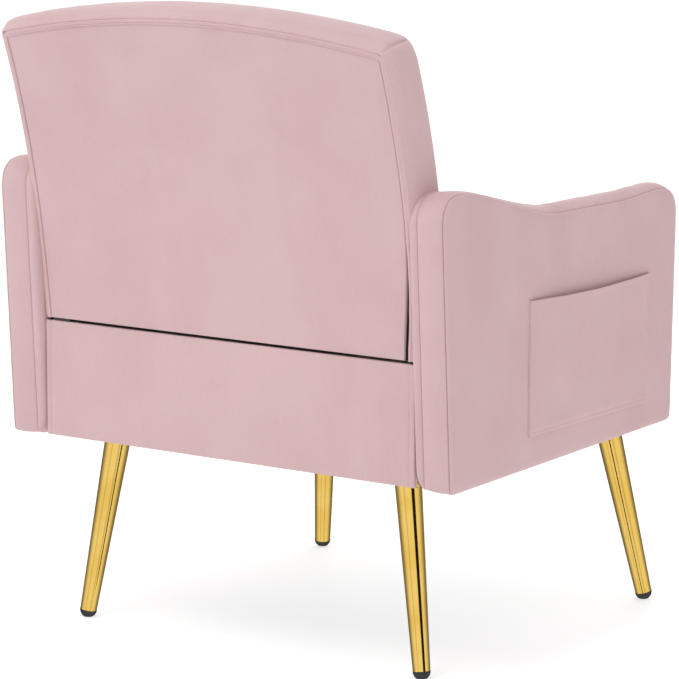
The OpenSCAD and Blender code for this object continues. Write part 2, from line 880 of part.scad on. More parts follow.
module arm_tee_nuts() {
    out = arm_frame_x + arm_frame_t;
    color(steel) left_and_right() for (y = arm_bolt_ys) translate([0, y, arm_bolt_z]) rotate([0, 90, 0])
        difference() {
            union() {
                translate([0, 0, out - tee_t]) cylinder(h = tee_t, r = tee_r);
                translate([0, 0, out - tee_len]) cylinder(h = tee_len, r = tee_barrel_r);
            }
            translate([0, 0, out - tee_len - 1]) cylinder(h = tee_len + 2, r = bolt_r + 0.05);
        }
}

module back_bolts() {
    head_z = bottom_rail_z + bottom_rail_h;
    color(steel) for (x = back_bolt_xs) translate([x, back_bolt_y, 0]) {
        translate([0, 0, head_z]) cylinder(h = head_t, r = head_r);
        translate([0, 0, barrel_z - 12]) cylinder(h = head_z - barrel_z + 13, r = bolt_r);
    }
}

module back_barrel_nuts() {
    color(steel) for (x = back_bolt_xs) difference() {
        translate([x, board_y + 1, barrel_z]) rotate([-90, 0, 0]) cylinder(h = board_t - 2, r = barrel_r);
        translate([x, back_bolt_y, barrel_z - far / 2]) cylinder(h = far, r = bolt_r + 0.05);
    }
}

// ---- pieces to draw ----

front_rail();
back_rail();
left_side_rail();
right_side_rail();
cross_rail();
corner_blocks();
seat_springs();
spring_clips();
deck_pad();
front_padding();
seat_band_cover();
dust_cover();
rear_rail_padding();
rear_rail_panel();
cushion_core();
cushion_top_panel();
cushion_bottom_panel();
cushion_boxing();
cushion_zip_tape();
cushion_zip_slider();
back_stiles();
back_top_rail();
back_middle_rail();
back_bottom_rail();
back_webbing();
back_foam();
back_edge_foam();
back_rear_padding();
back_front_panel();
back_boxing();
back_rear_panel();
back_zip_tape();
back_zip_slider();
left_arm_posts();
left_arm_rails();
left_arm_padding();
left_arm_outer_panel();
left_arm_boxing();
left_arm_inner_panel();
left_arm_pocket();
right_arm_posts();
right_arm_rails();
right_arm_padding();
right_arm_outer_panel();
right_arm_boxing();
right_arm_inner_panel();
right_arm_pocket();
left_front_leg();
right_front_leg();
left_rear_leg();
right_rear_leg();
foot_caps();
leg_plates();
leg_studs();
leg_screws();
arm_bolts();
arm_tee_nuts();
back_bolts();
back_barrel_nuts();
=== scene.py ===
"""The looks of an upholstered armchair: velvet covers sewn from panels over padding,
polished metal legs, zips, and the timber and steel inside."""

import json
import math

import bmesh
import bpy
import numpy as np
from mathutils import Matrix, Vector


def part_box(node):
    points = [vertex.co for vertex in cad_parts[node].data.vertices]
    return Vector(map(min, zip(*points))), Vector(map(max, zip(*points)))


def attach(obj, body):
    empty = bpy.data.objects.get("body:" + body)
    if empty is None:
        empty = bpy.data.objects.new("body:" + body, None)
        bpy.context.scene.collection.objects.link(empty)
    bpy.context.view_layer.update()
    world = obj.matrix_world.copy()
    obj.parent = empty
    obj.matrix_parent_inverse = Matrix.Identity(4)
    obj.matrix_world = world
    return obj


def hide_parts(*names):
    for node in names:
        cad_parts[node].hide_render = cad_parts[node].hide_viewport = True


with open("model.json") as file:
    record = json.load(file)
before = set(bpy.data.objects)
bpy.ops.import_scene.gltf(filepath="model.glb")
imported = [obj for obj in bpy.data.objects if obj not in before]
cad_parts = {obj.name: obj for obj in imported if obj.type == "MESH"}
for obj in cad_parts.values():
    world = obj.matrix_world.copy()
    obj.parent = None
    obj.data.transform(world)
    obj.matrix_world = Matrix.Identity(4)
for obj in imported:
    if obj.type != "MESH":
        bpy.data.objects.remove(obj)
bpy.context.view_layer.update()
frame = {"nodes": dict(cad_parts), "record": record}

# ---------------------------------------------------------------- sizes, in metres

CLOTH = 0.0018          # thickness of the velvet with its backing
ROLL = 0.0016           # radius at which cloth turns down into a plain seam
ARM_ROLL = 0.0013       # the same at the arms' seams
POCKET_ROLL = 0.0019    # the same at a pocket's turned edges
STRIP_ROLL = 0.0014     # the same at the back's flat strip
FOLD_ROLL = 0.0018      # the same at the rail panel's folded edges
SEAM_SINK = 2.2         # how deep a seam lies, in radii of its turned cloth
UNDER_COVER = CLOTH + 0.0006    # how far a pad's face lies below its cover's
ARM_EDGE = 0.005        # radius of an arm's long edges
SEAM_LIFT = 0.0020      # how far filling lifts the arm's outer seam off its outline
WELT = 0.0082           # width from the back's side to the rear panel's seam
WELT_TOP = 1.15         # that width along the arched top, over WELT
ZIP_SLOT = 0.0017       # half the open gap that shows a zip
UPRIGHT_SLOT = 0.0054   # width of the gap's upright run at its foot
ZIP_TOP = 0.575         # height at which the upright zip run closes
REAR_ARCH = 0.34        # fall of the back's rear top seam, over its half width squared
FRONT_ARCH = 0.335      # the same for its front top seam


def corner(node, high):
    """A CAD node's lowest or highest corner."""
    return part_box(node)[1 if high else 0]


ARM_OUT = corner("left_arm_outer_panel", True).x
ARM_IN = corner("left_arm_inner_panel", False).x
BACK_LOW = corner("back_rear_panel", False).z
BACK_HIGH = corner("back_rear_panel", True).z
RAIL_FACE = corner("rear_rail_panel", True).y
SEAM_Z = (BACK_LOW + corner("rear_rail_panel", True).z) / 2


# ---------------------------------------------------------------- numbers on curves

def smooth(t):
    """Rises from 0 to 1 as t does, and levels off at both ends."""
    t = np.clip(t, 0.0, 1.0)
    return t * t * (3 - 2 * t)


def cumulative(points):
    """The share of a polyline's length at each of its points."""
    along = distances(points)
    return along / along[-1]


def distances(points):
    """How far along a polyline each of its points lies."""
    steps = np.linalg.norm(np.diff(points, axis=0), axis=1)
    return np.concatenate([[0], np.cumsum(steps)])


def length_of(points):
    return float(distances(points)[-1])


def spaced_by_length(points, shares):
    """Points at the given shares of a polyline's length."""
    points = np.asarray(points, float)
    along = distances(points)
    return np.column_stack([np.interp(np.asarray(shares) * along[-1], along, column) for column in points.T])


def between(first, last, shares):
    """A grid that runs straight from each point of one line to its partner on another."""
    shares = shares[None, :, None]
    return first[:, None] * (1 - shares) + last[:, None] * shares


def strip_places(along, across):
    """The flat places of a strip's grid points, as (along, across)."""
    return np.dstack(np.broadcast_arrays(along[:, None], across[None]))


def spacing(length, near, step, ends="both"):
    """Shares of a length for grid lines: at the distances near from its ends, and about
    step apart between them."""
    near = np.asarray(near) / length
    start = near if ends in ("both", "start") else np.zeros(1)
    finish = 1 - (near if ends in ("both", "end") else np.zeros(1))[::-1]
    count = max(2, int(round((finish[0] - start[-1]) * length / step)))
    return np.concatenate([start[:-1], np.linspace(start[-1], finish[0], count + 1), finish[1:]])


def coons(bottom, top, left, right):
    """A grid of points spanned between four edges: bottom and top run along the first
    index, left and right along the second."""
    u = (cumulative(bottom) + cumulative(top)) / 2
    v = (cumulative(left) + cumulative(right)) / 2
    U, V = u[:, None, None], v[None, :, None]
    ruled_v = (1 - V) * bottom[:, None] + V * top[:, None]
    ruled_u = (1 - U) * left[None] + U * right[None]
    corners = ((1 - U) * (1 - V) * bottom[0] + U * (1 - V) * bottom[-1]
               + (1 - U) * V * top[0] + U * V * top[-1])
    return ruled_v + ruled_u - corners


def nearest_on(border, points):
    """The nearest point of a polyline to each of many 2-D points, and the distance to it."""
    a, b = np.asarray(border)[:-1], np.asarray(border)[1:]
    ab = b - a
    size = np.maximum((ab ** 2).sum(1), 1e-18)
    flat = np.asarray(points).reshape(-1, 2)
    found = np.empty_like(flat)
    batch = 2000
    for i in range(0, len(flat), batch):
        p = flat[i:i + batch, None]
        t = np.clip(((p - a) * ab).sum(2) / size, 0, 1)
        at = a + t[..., None] * ab
        best = ((at - p) ** 2).sum(2).argmin(1)
        found[i:i + batch] = at[np.arange(len(best)), best]
    found = found.reshape(np.shape(points))
    return found, np.linalg.norm(found - points, axis=-1)


def rolled(distance, radius=ROLL):
    """How far cloth lies below its face at a distance from a seam that it turns down into."""
    left = 1 - np.clip(np.asarray(distance) / radius, 0, 1)
    return SEAM_SINK * radius * (1 - np.sqrt(np.maximum(0, 1 - left ** 2)))


def outward(loop):
    """Unit normals that point out of a closed loop of 2-D points, listed anticlockwise."""
    ahead = np.roll(loop, -1, 0) - np.roll(loop, 1, 0)
    normal = np.column_stack([ahead[:, 1], -ahead[:, 0]])
    return normal / np.linalg.norm(normal, axis=1)[:, None]


def grid_normals(grid, centre, closed=False):
    """Unit normals of a grid of points, which point away from a centre."""
    ahead = np.roll(grid, -1, 0) - np.roll(grid, 1, 0) if closed else np.gradient(grid, axis=0)
    normal = np.cross(ahead, np.gradient(grid, axis=1))
    normal /= np.maximum(np.linalg.norm(normal, axis=2), 1e-12)[..., None]
    return normal if ((grid - centre) * normal).sum() > 0 else -normal


def ripples(points, seed, size, height):
    """Smooth noise of about the given height over points, from seeded plane waves of about
    the given size."""
    rng = np.random.default_rng(seed)
    points = np.asarray(points, float)
    waves = 18
    total = np.zeros(points.shape[:-1])
    for _ in range(waves):
        way = rng.normal(size=points.shape[-1])
        way *= rng.uniform(0.6, 1.5) * 2 * math.pi / size / np.linalg.norm(way)
        total += np.sin(points @ way + rng.uniform(0, 2 * math.pi))
    return total * math.sqrt(2 / waves) * height


# ---------------------------------------------------------------- making meshes

MATERIALS = {}


def mesh_object(name, vertices, faces, material):
    mesh = bpy.data.meshes.new(name)
    mesh.from_pydata([tuple(map(float, v)) for v in vertices], [],
                     [tuple(map(int, f)) for f in faces])
    mesh.validate()
    obj = bpy.data.objects.new(name, mesh)
    bpy.context.scene.collection.objects.link(obj)
    mesh.materials.append(MATERIALS[material])
    mesh.shade_smooth()
    return obj


def grid_object(name, grid, material, closed=False):
    return mesh_object(name, grid.reshape(-1, 3), grid_faces(*grid.shape[:2], closed), material)


def reworked(mesh, rework):
    """Changes a mesh by a function that takes its bmesh."""
    work = bmesh.new()
    work.from_mesh(mesh)
    rework(work)
    work.to_mesh(mesh)
    work.free()


def grid_faces(nu, nv, closed=False):
    faces = []
    for i in range(nu if closed else nu - 1):
        k = (i + 1) % nu
        for j in range(nv - 1):
            faces.append((i * nv + j, k * nv + j, k * nv + j + 1, i * nv + j + 1))
    return faces


def point_out(obj, away):
    """Turns an open sheet's faces so that they look away from the point away."""
    mesh = obj.data
    total = sum((p.normal.dot(p.center - Vector(away)) * p.area for p in mesh.polygons), 0.0)
    if total < 0:
        mesh.flip_normals()


def applied(obj, *modifiers):
    """Adds modifiers, each a type and its settings, and applies them all."""
    for kind, settings in modifiers:
        m = obj.modifiers.new(kind.title(), kind)
        for key, value in settings.items():
            setattr(m, key, value)
    bpy.context.view_layer.update()
    final = bpy.data.meshes.new_from_object(
        obj.evaluated_get(bpy.context.evaluated_depsgraph_get()))
    old = obj.data
    obj.modifiers.clear()
    obj.data = final
    final.name = obj.name
    bpy.data.meshes.remove(old)
    final.shade_smooth()
    return obj


def cloth_from_grid(name, grid, away, closed=False, thick=CLOTH):
    """A sheet of velvet on a grid of points, with its real thickness behind it."""
    obj = grid_object(name + "_cloth", grid, "velvet", closed)
    point_out(obj, away)
    return applied(obj,
                   ("SUBSURF", {"levels": 1, "render_levels": 1}),
                   ("SOLIDIFY", {"thickness": thick, "offset": -1.0, "use_even_offset": False,
                                 "use_rim": True}))


def joined(name, objects):
    """One object made of several, which keeps their materials."""
    with bpy.context.temp_override(active_object=objects[0], selected_editable_objects=objects):
        bpy.ops.object.join()
    objects[0].name = name
    objects[0].data.name = name
    return objects[0]


def finish_piece(obj, body, slot, *nodes):
    """Puts a piece on its body, in the place of CAD nodes, which it hides; its slot is not used."""
    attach(obj, body)
    if nodes:
        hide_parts(*nodes)


def sewn(name, grid, away, nodes=None, body="chair", closed=False):
    """A stretched velvet panel, in the place of the CAD node of its name unless others are given."""
    piece = cloth_from_grid(name, grid, away, closed)
    finish_piece(piece, body, "velvet", *((name,) if nodes is None else nodes))


def tube(name, points, radius, material, sides):
    """A round cord along points, with capped ends."""
    ahead = np.gradient(points, axis=0)
    ahead /= np.linalg.norm(ahead, axis=1)[:, None]
    side = np.cross(ahead[0], [0.0, 0.0, 1.0])
    if np.linalg.norm(side) < 1e-3:
        side = np.array([1.0, 0.0, 0.0])
    angles = np.linspace(0, 2 * np.pi, sides, endpoint=False)
    rings = []
    for point, way in zip(points, ahead):
        side = side - way * (side @ way)
        side /= np.linalg.norm(side)
        up = np.cross(way, side)
        rings.append(point + radius * (np.cos(angles)[:, None] * side + np.sin(angles)[:, None] * up))
    faces = []
    for i in range(len(points) - 1):
        for j in range(sides):
            m = (j + 1) % sides
            faces.append((i * sides + j, i * sides + m, (i + 1) * sides + m, (i + 1) * sides + j))
    faces.append(tuple(range(sides))[::-1])
    faces.append(tuple((len(points) - 1) * sides + j for j in range(sides)))
    return mesh_object(name, np.concatenate(rings), faces, material)


# ---------------------------------------------------------------- shader node helpers

def new_group(name, inputs, outputs):
    """An empty shader node group. Each input is (name, kind, default)."""
    group = bpy.data.node_groups.new(name, "ShaderNodeTree")
    for label, kind, default in inputs:
        socket = group.interface.new_socket(label, in_out="INPUT", socket_type="NodeSocket" + kind)
        socket.default_value = default
    for label, kind in outputs:
        group.interface.new_socket(label, in_out="OUTPUT", socket_type="NodeSocket" + kind)
    return group, group.nodes.new("NodeGroupInput"), group.nodes.new("NodeGroupOutput")


def feed(tree, socket, value):
    """Links a socket to another one, or sets its value. A colour may leave out its alpha."""
    if isinstance(value, bpy.types.NodeSocket):
        tree.links.new(value, socket)
    elif socket.type == "RGBA":
        socket.default_value = (*value[:3], 1.0)
    else:
        socket.default_value = value


def node(tree, kind, settings=None, **inputs):
    """A shader node with its settings and its input values or links."""
    made = tree.nodes.new("ShaderNode" + kind)
    for key, value in (settings or {}).items():
        setattr(made, key, value)
    for key, value in inputs.items():
        feed(tree, made.inputs[key], value)
    return made


def maths(tree, operation, a, b=0.0):
    made = node(tree, "Math", {"operation": operation})
    feed(tree, made.inputs[0], a)
    feed(tree, made.inputs[1], b)
    return made.outputs[0]


def mixed(tree, a, b, share):
    """Two values added up, a by its share and b by the rest."""
    return maths(tree, "ADD", maths(tree, "MULTIPLY", a, share), maths(tree, "MULTIPLY", b, 1 - share))


def drifting(tree, mask, low, high):
    """A value that goes from low to high as the mask goes from 0 to 1."""
    return maths(tree, "ADD", maths(tree, "MULTIPLY", mask, high - low), low)


def blend_colours(tree, share, a, b, mode="MIX"):
    made = node(tree, "Mix", {"data_type": "RGBA", "blend_type": mode})
    for index, value in ((0, share), (6, a), (7, b)):
        feed(tree, made.inputs[index], value)
    return made.outputs[2]


def ramp(tree, value, low, high):
    """Maps low..high of a value onto 0..1, levelled off at both ends."""
    made = node(tree, "MapRange", {"interpolation_type": "SMOOTHSTEP"})
    for index, fed in enumerate((value, low, high)):
        feed(tree, made.inputs[index], fed)
    return made.outputs[0]


def scaled_place(tree, scale=(1, 1, 1)):
    """Object coordinates stretched by scale in X, Y and Z."""
    place = node(tree, "TexCoord").outputs["Object"]
    return node(tree, "Mapping", Vector=place, Scale=scale).outputs["Vector"]


def noise(tree, place, scale, detail=2.0, rough=0.5):
    made = node(tree, "TexNoise", Vector=place, Scale=scale, Detail=detail, Roughness=rough)
    return made.outputs[0]


def bump(tree, height, distance, strength):
    return node(tree, "Bump", Height=height, Distance=distance, Strength=strength).outputs[0]


def new_material(name):
    material = bpy.data.materials.new(name)
    material.use_nodes = True
    MATERIALS[name] = material
    return material.node_tree, material.node_tree.nodes["Principled BSDF"]


def set_up(tree, shader, colour, roughness, normal=None, **constants):
    given = {"Base Color": colour, "Roughness": roughness}
    if normal is not None:
        given["Normal"] = normal
    given.update({name.replace("_", " "): value for name, value in constants.items()})
    for name, value in given.items():
        feed(tree, shader.inputs[name], value)


# ---------------------------------------------------------------- shared shader groups

def make_wear_group():
    """Blotches of rubbed and clean surface, from broad and fine noise together."""
    group, given, out = new_group("rubbed_patches",
                                  [("Broad", "Float", 9.0), ("Fine", "Float", 160.0)],
                                  [("Mask", "Float")])
    place = scaled_place(group)
    broad = noise(group, place, given.outputs["Broad"], 3.0)
    fine = noise(group, place, given.outputs["Fine"])
    group.links.new(ramp(group, mixed(group, broad, fine, 0.7), 0.38, 0.62), out.inputs["Mask"])
    return group


def make_nap_group():
    """Velvet pile: Lay is the broad shading of pile that was stroked different ways, Tuft is
    the fine height of the pile."""
    group, given, out = new_group("velvet_nap",
                                  [("Strokes", "Float", 1.0), ("Pile", "Float", 1.0)],
                                  [("Lay", "Float"), ("Tuft", "Float")])
    strokes = node(group, "TexNoise", Vector=scaled_place(group, (7.0, 7.0, 2.2)),
                   Scale=given.outputs["Strokes"], Detail=3.0, Roughness=0.45, Distortion=0.6)
    patches = noise(group, scaled_place(group), 14.0, 4.0)
    lay = mixed(group, strokes.outputs[0], patches, 0.6)
    group.links.new(ramp(group, lay, 0.34, 0.66), out.inputs["Lay"])
    pile, ribs = (noise(group, scaled_place(group, (1, 1, stretch)),
                        maths(group, "MULTIPLY", given.outputs["Pile"], fineness))
                  for stretch, fineness in ((0.55, 900.0), (0.25, 260.0)))
    group.links.new(mixed(group, pile, ribs, 0.65), out.inputs["Tuft"])
    return group


def make_weave_group():
    """Over-and-under threads, as the height of three sets of waves along X, Y and Z."""
    group, given, out = new_group("plain_weave", [("Threads", "Float", 900.0)], [("Height", "Float")])
    place = scaled_place(group)
    waves = [node(group, "TexWave", {"wave_type": "BANDS", "bands_direction": direction},
                  Vector=place, Scale=given.outputs["Threads"], Distortion=0.4,
                  Detail=1.0).outputs["Fac"] for direction in "XYZ"]
    total = maths(group, "ADD", maths(group, "ADD", waves[0], waves[1]), waves[2])
    group.links.new(maths(group, "MULTIPLY", total, 0.333), out.inputs["Height"])
    return group


WEAR = make_wear_group()
NAP = make_nap_group()
WEAVE = make_weave_group()


def placed(tree, group, **inputs):
    """A shared group placed in a material with the material's own values."""
    made = node(tree, "Group", {"node_tree": group}, **inputs)
    return made.outputs


# ---------------------------------------------------------------- materials

def make_velvet(name, deep, pale):
    """Short-pile velvet: stroked lights and darks, fine pile with a painted highlight on its tallest tufts,
    and a soft sheen at the rim.
    """
    tree, shader = new_material(name)
    nap = placed(tree, NAP, Strokes=1.0, Pile=1.0)
    colour = blend_colours(tree, nap["Lay"], deep, pale)
    # painted highlight: the colour turns towards pale pink where the pile stands tallest, as if its tips
    # caught the light
    pile_tip_painted_highlight = maths(tree, "MULTIPLY", ramp(tree, nap["Tuft"], 0.25, 0.75), 0.10)
    colour = blend_colours(tree, pile_tip_painted_highlight, colour, (1.0, 0.93, 0.92), "SOFT_LIGHT")
    set_up(tree, shader, colour, drifting(tree, nap["Lay"], 0.92, 0.82),
           bump(tree, nap["Tuft"], 0.0005, 0.55), Sheen_Weight=0.45, Sheen_Roughness=0.35,
           Sheen_Tint=(1.0, 0.90, 0.90), Specular_IOR_Level=0.18)


def make_gold():
    """Polished gold plating with faint handling marks."""
    tree, shader = new_material("gold_metal")
    mask = placed(tree, WEAR, Broad=24.0, Fine=420.0)["Mask"]
    colour = blend_colours(tree, mask, (0.88, 0.57, 0.12), (0.94, 0.64, 0.17))
    drawn = noise(tree, scaled_place(tree, (1, 1, 0.02)), 700.0)
    set_up(tree, shader, colour, drifting(tree, mask, 0.055, 0.090),
           bump(tree, drawn, 0.00002, 0.25), Metallic=1.0)


def make_plastic(name, base, rough_low, rough_high, grain):
    """Moulded black plastic, or black lacquer on a zip, paler and duller where it is rubbed."""
    tree, shader = new_material(name)
    mask = placed(tree, WEAR, Broad=30.0, Fine=500.0)["Mask"]
    colour = blend_colours(tree, mask, base, tuple(c * 1.5 + 0.008 for c in base))
    fine = noise(tree, scaled_place(tree), grain, 3.0)
    set_up(tree, shader, colour, drifting(tree, mask, rough_low, rough_high),
           bump(tree, fine, 0.0001, 0.3))


def make_timber():
    """Planed rubberwood: long grain, growth bands and pores."""
    tree, shader = new_material("timber")
    bands = node(tree, "TexWave", {"wave_type": "RINGS", "rings_direction": "X"},
                 Vector=scaled_place(tree, (2.0, 14.0, 14.0)), Scale=2.2, Distortion=7.0,
                 Detail=3.0).outputs["Fac"]
    grain = noise(tree, scaled_place(tree, (18.0, 160.0, 160.0)), 2.0, 5.0, 0.6)
    colour = blend_colours(tree, bands, (0.46, 0.31, 0.17), (0.66, 0.49, 0.29))
    colour = blend_colours(tree, ramp(tree, grain, 0.45, 0.75), colour, (0.36, 0.23, 0.12))
    set_up(tree, shader, colour, drifting(tree, grain, 0.50, 0.75), bump(tree, grain, 0.0004, 0.4))


def make_steel(name, base, smooth_rough, dull_rough):
    """Drawn or zinc-plated steel with streaks and dull patches."""
    tree, shader = new_material(name)
    mask = placed(tree, WEAR, Broad=18.0, Fine=240.0)["Mask"]
    colour = blend_colours(tree, mask, tuple(c * 0.72 for c in base), base)
    streak = noise(tree, scaled_place(tree, (0.1, 1, 1)), 600.0)
    set_up(tree, shader, colour, drifting(tree, mask, dull_rough, smooth_rough),
           bump(tree, streak, 0.00005, 0.3), Metallic=1.0)


def make_woven(name, deep, pale, threads, rough=0.85, depth=0.0002):
    """A plain woven cloth or tape, with painted shade in the hollows between its threads and paler,
    painted-lit thread crests.
    """
    tree, shader = new_material(name)
    height = placed(tree, WEAVE, Threads=threads)["Height"]
    mask = placed(tree, WEAR, Broad=12.0, Fine=300.0)["Mask"]
    # painted shade and highlight: darker where the weave lies low between threads, paler on the thread
    # crests
    colour = blend_colours(tree, ramp(tree, height, 0.2, 0.8), deep, pale)
    colour = blend_colours(tree, maths(tree, "MULTIPLY", mask, 0.25), colour, pale)
    set_up(tree, shader, colour, rough, bump(tree, height, depth, 0.6), Sheen_Weight=0.1)


def make_foam(name, deep, pale, size, depth):
    """Open-cell foam or matted fibre: pores with painted shade at their middles, and tints that drift across
    the block.
    """
    tree, shader = new_material(name)
    cells = node(tree, "TexVoronoi", Vector=scaled_place(tree), Scale=size).outputs["Distance"]
    drift = noise(tree, scaled_place(tree), 6.0, 4.0)
    # painted shade in the pores: darker at each cell's middle, where the bump sinks
    colour = blend_colours(tree, ramp(tree, cells, 0.0, 0.7), deep, pale)
    colour = blend_colours(tree, maths(tree, "MULTIPLY", drift, 0.3), colour, deep)
    set_up(tree, shader, colour, 0.95, bump(tree, cells, depth, 0.5))


make_velvet("velvet", (0.592, 0.408, 0.416), (0.630, 0.442, 0.449))
make_gold()
make_plastic("foot_plastic", (0.012, 0.012, 0.013), 0.32, 0.5, 900.0)
make_timber()
make_steel("spring_steel", (0.34, 0.34, 0.35), 0.28, 0.5)
make_steel("zinc_steel", (0.62, 0.63, 0.65), 0.25, 0.45)
make_plastic("zip_metal", (0.016, 0.016, 0.017), 0.28, 0.42, 1200.0)
make_woven("zip_tape", (0.006, 0.006, 0.006), (0.020, 0.020, 0.021), 1400.0)
make_woven("webbing", (0.035, 0.035, 0.038), (0.10, 0.10, 0.105), 620.0)
make_woven("dust_cloth", (0.012, 0.012, 0.012), (0.035, 0.035, 0.036), 420.0, 0.9, 0.00012)
make_foam("fibre", (0.74, 0.73, 0.69), (0.90, 0.89, 0.86), 420.0, 0.0008)
make_foam("foam", (0.70, 0.62, 0.40), (0.90, 0.83, 0.60), 900.0, 0.0005)

# every CAD piece gets its own finish, whether it shows or a sewn piece replaces it
for part in frame["record"]["subparts"]:
    for material_slot in frame["nodes"][part["node"]].material_slots:
        material_slot.material = MATERIALS[part["material_slot"]]


# ---------------------------------------------------------------- studio

LAMPS = (               # place, power and size of each soft lamp
    ("key", (0.1, 2.1, 3.9), 48.0, 1.8),
    ("side", (-3.4, 0.6, 2.2), 6.0, 1.6),
    ("front", (1.4, -3.4, 2.2), 40.0, 2.4),
    ("fill", (3.2, 1.2, 1.4), 16.0, 2.2))
DARK_EDGES = (          # bearing, half width, where it ends, and darkness of each dark upright
    (-0.94, 0.85, 2.05, 0.80),
    (1.50, 0.02, 0.14, 0.30),
    (2.62, 0.02, 0.20, 0.35))


def placed_object(name, data, place, target):
    """A camera or lamp at a place, turned towards a target."""
    made = bpy.data.objects.new(name, data)
    made.location = place
    made.rotation_euler = (Vector(target) - Vector(place)).to_track_quat("-Z", "Y").to_euler()
    bpy.context.scene.collection.objects.link(made)
    return made


def make_camera_and_lamps():
    lens = bpy.data.cameras.new("camera")
    lens.lens = 185.57
    lens.sensor_width = 36.0
    lens.clip_end = 50.0
    bpy.context.scene.camera = placed_object("camera", lens, (-2.66681, 3.62840, 1.12188),
                                             (-0.0006, 0.0056, 0.3708))
    for name, place, power, size in LAMPS:
        light = bpy.data.lights.new(name, "AREA")
        light.energy = power
        light.size = size
        placed_object(name, light, place, (0, 0, 0.4))


def make_room():
    """A bright room with a few dark uprights, which polished metal needs to look like metal."""
    bpy.context.scene.view_settings.view_transform = "Standard"
    world = bpy.data.worlds.new("studio")
    bpy.context.scene.world = world
    world.use_nodes = True
    tree = world.node_tree
    way = node(tree, "TexCoord").outputs["Generated"]
    split = node(tree, "SeparateXYZ", Vector=way).outputs
    turn = maths(tree, "ARCTAN2", split["Y"], split["X"])
    dark = 0.0
    for bearing, start, end, depth in DARK_EDGES:
        off = maths(tree, "ABSOLUTE", maths(tree, "SUBTRACT", turn, bearing))
        band = maths(tree, "MULTIPLY", maths(tree, "SUBTRACT", 1.0, ramp(tree, off, start, end)), depth)
        dark = maths(tree, "MAXIMUM", dark, band)
    below_ceiling = maths(tree, "SUBTRACT", 1.0, ramp(tree, split["Z"], 0.45, 0.75))
    dark = maths(tree, "MULTIPLY", dark, below_ceiling)
    ray = node(tree, "LightPath").outputs
    mirrored = blend_colours(tree, dark, (1.35, 1.35, 1.35), (0.04, 0.03, 0.02))
    shade = blend_colours(tree, ray["Is Glossy Ray"], (1.0, 1.0, 1.0), mirrored)
    shade = blend_colours(tree, ray["Is Camera Ray"], shade, (1.5, 1.5, 1.5))
    background = tree.nodes["Background"].inputs
    feed(tree, background["Color"], shade)
    feed(tree, background["Strength"], 0.69)


def make_floor():
    tree, shader = new_material("floor")
    grain = noise(tree, scaled_place(tree), 3.0)
    set_up(tree, shader, blend_colours(tree, grain, (0.50, 0.50, 0.50), (0.53, 0.53, 0.53)), 0.85,
           Emission_Strength=0.65, Emission_Color=(1.0, 1.0, 1.0))
    radius, drop, count = 12.0, 0.0006, 24
    angles = np.linspace(0, 2 * np.pi, count, endpoint=False)
    disc = [(radius * math.cos(a), radius * math.sin(a), -drop) for a in angles]
    floor = mesh_object("floor", disc, [tuple(range(count))], "floor")
    floor.visible_glossy = False


def make_card():
    """A dark upright card beside the right rear leg, which only polished metal shows."""
    tree, shader = new_material("card")
    grain = noise(tree, scaled_place(tree), 40.0)
    set_up(tree, shader, blend_colours(tree, grain, (0.002, 0.002, 0.002), (0.004, 0.004, 0.004)), 0.95)
    leg = corner("right_rear_leg", False) * 0.5 + corner("right_rear_leg", True) * 0.5
    middle = leg + Vector((-0.30, 0.105, 0.0))
    half = Vector((0.33, 0.94, 0.0)) * 0.080
    low, high = -0.35, 0.30
    points = [(c.x, c.y, z) for c, z in ((middle - half, low), (middle + half, low),
                                         (middle + half, high), (middle - half, high))]
    card = mesh_object("card", points, [(0, 1, 2, 3)], "card")
    for ray in ("camera", "diffuse", "transmission", "volume_scatter", "shadow"):
        setattr(card, "visible_" + ray, False)


make_camera_and_lamps()
make_room()
make_floor()
make_card()


# ---------------------------------------------------------------- arms

NEAR_SEAM = np.array([0, 0.0001, 0.0004, 0.0009, 0.0015, 0.0022, 0.0034, 0.0055, 0.009, 0.015])
INNER_SEAM = 0.015      # width of the inner panel's turn over the arm's inner edge
PANEL_STEP = 0.012      # gap between grid lines on a plain panel
BOXING_WIDTH = ARM_OUT - ARM_EDGE - ARM_IN - INNER_SEAM
ARM_CROWN_Y = (-0.26, -0.22, -0.12, 0.0, 0.09, 0.16, 0.26)     # places along the arm's top
ARM_CROWN = (0.0040, 0.0074, 0.0116, 0.0110, 0.0078, 0.0028, 0.0030)   # its swell there


def outline_of(cad_node):
    """The ordered outline of an arm panel's outer face, anticlockwise seen from +X, from its
    lower front corner."""
    points = np.array([v.co for v in frame["nodes"][cad_node].data.vertices])
    face = points[np.abs(points[:, 0] - points[:, 0].max()) < 1e-5][:, 1:]
    face = np.unique(np.round(face, 6), axis=0)
    middle = (face.min(0) + face.max(0)) / 2
    turn = np.arctan2(face[:, 1] - middle[1], face[:, 0] - middle[0])
    face = face[np.argsort(turn)]
    front = face[np.argmin(face @ [1.0, 1.0])]
    start = int(np.argmin(np.linalg.norm(face - front, axis=1)))
    return np.roll(face, -start, axis=0)


def softened(loop):
    """The same outline with its sharp corners rounded, from the middle of its first one."""
    reach = 0.006
    points = []
    share = np.linspace(0, 1, 9)[:, None]
    for before, point, after in zip(np.roll(loop, 1, 0), loop, np.roll(loop, -1, 0)):
        back, on = before - point, after - point
        back, on = back / np.linalg.norm(back), on / np.linalg.norm(on)
        if back @ on < -0.7:
            points.append(point[None])
        else:
            start, end = point + back * reach, point + on * reach
            points.append((1 - share) ** 2 * start + 2 * share * (1 - share) * point
                          + share ** 2 * end)
    points = np.vstack(points)
    return np.roll(points, -int(np.argmin(points @ [1.0, 1.0])), axis=0)


ARM_LOOP = softened(outline_of("left_arm_outer_panel"))


def arm_edges(loop):
    """The loop's four edges, bottom, rear, top and front, split at its four corners."""
    a = int(np.argmax(loop @ [1.0, -1.0]))
    b = int(np.argmax(loop @ [1.0, 1.0]))
    c = int(np.argmax(loop @ [-1.0, 1.0]))
    closed = np.vstack([loop, loop[:1]])
    return closed[:a + 1], closed[a:b + 1], closed[b:c + 1], closed[c:]


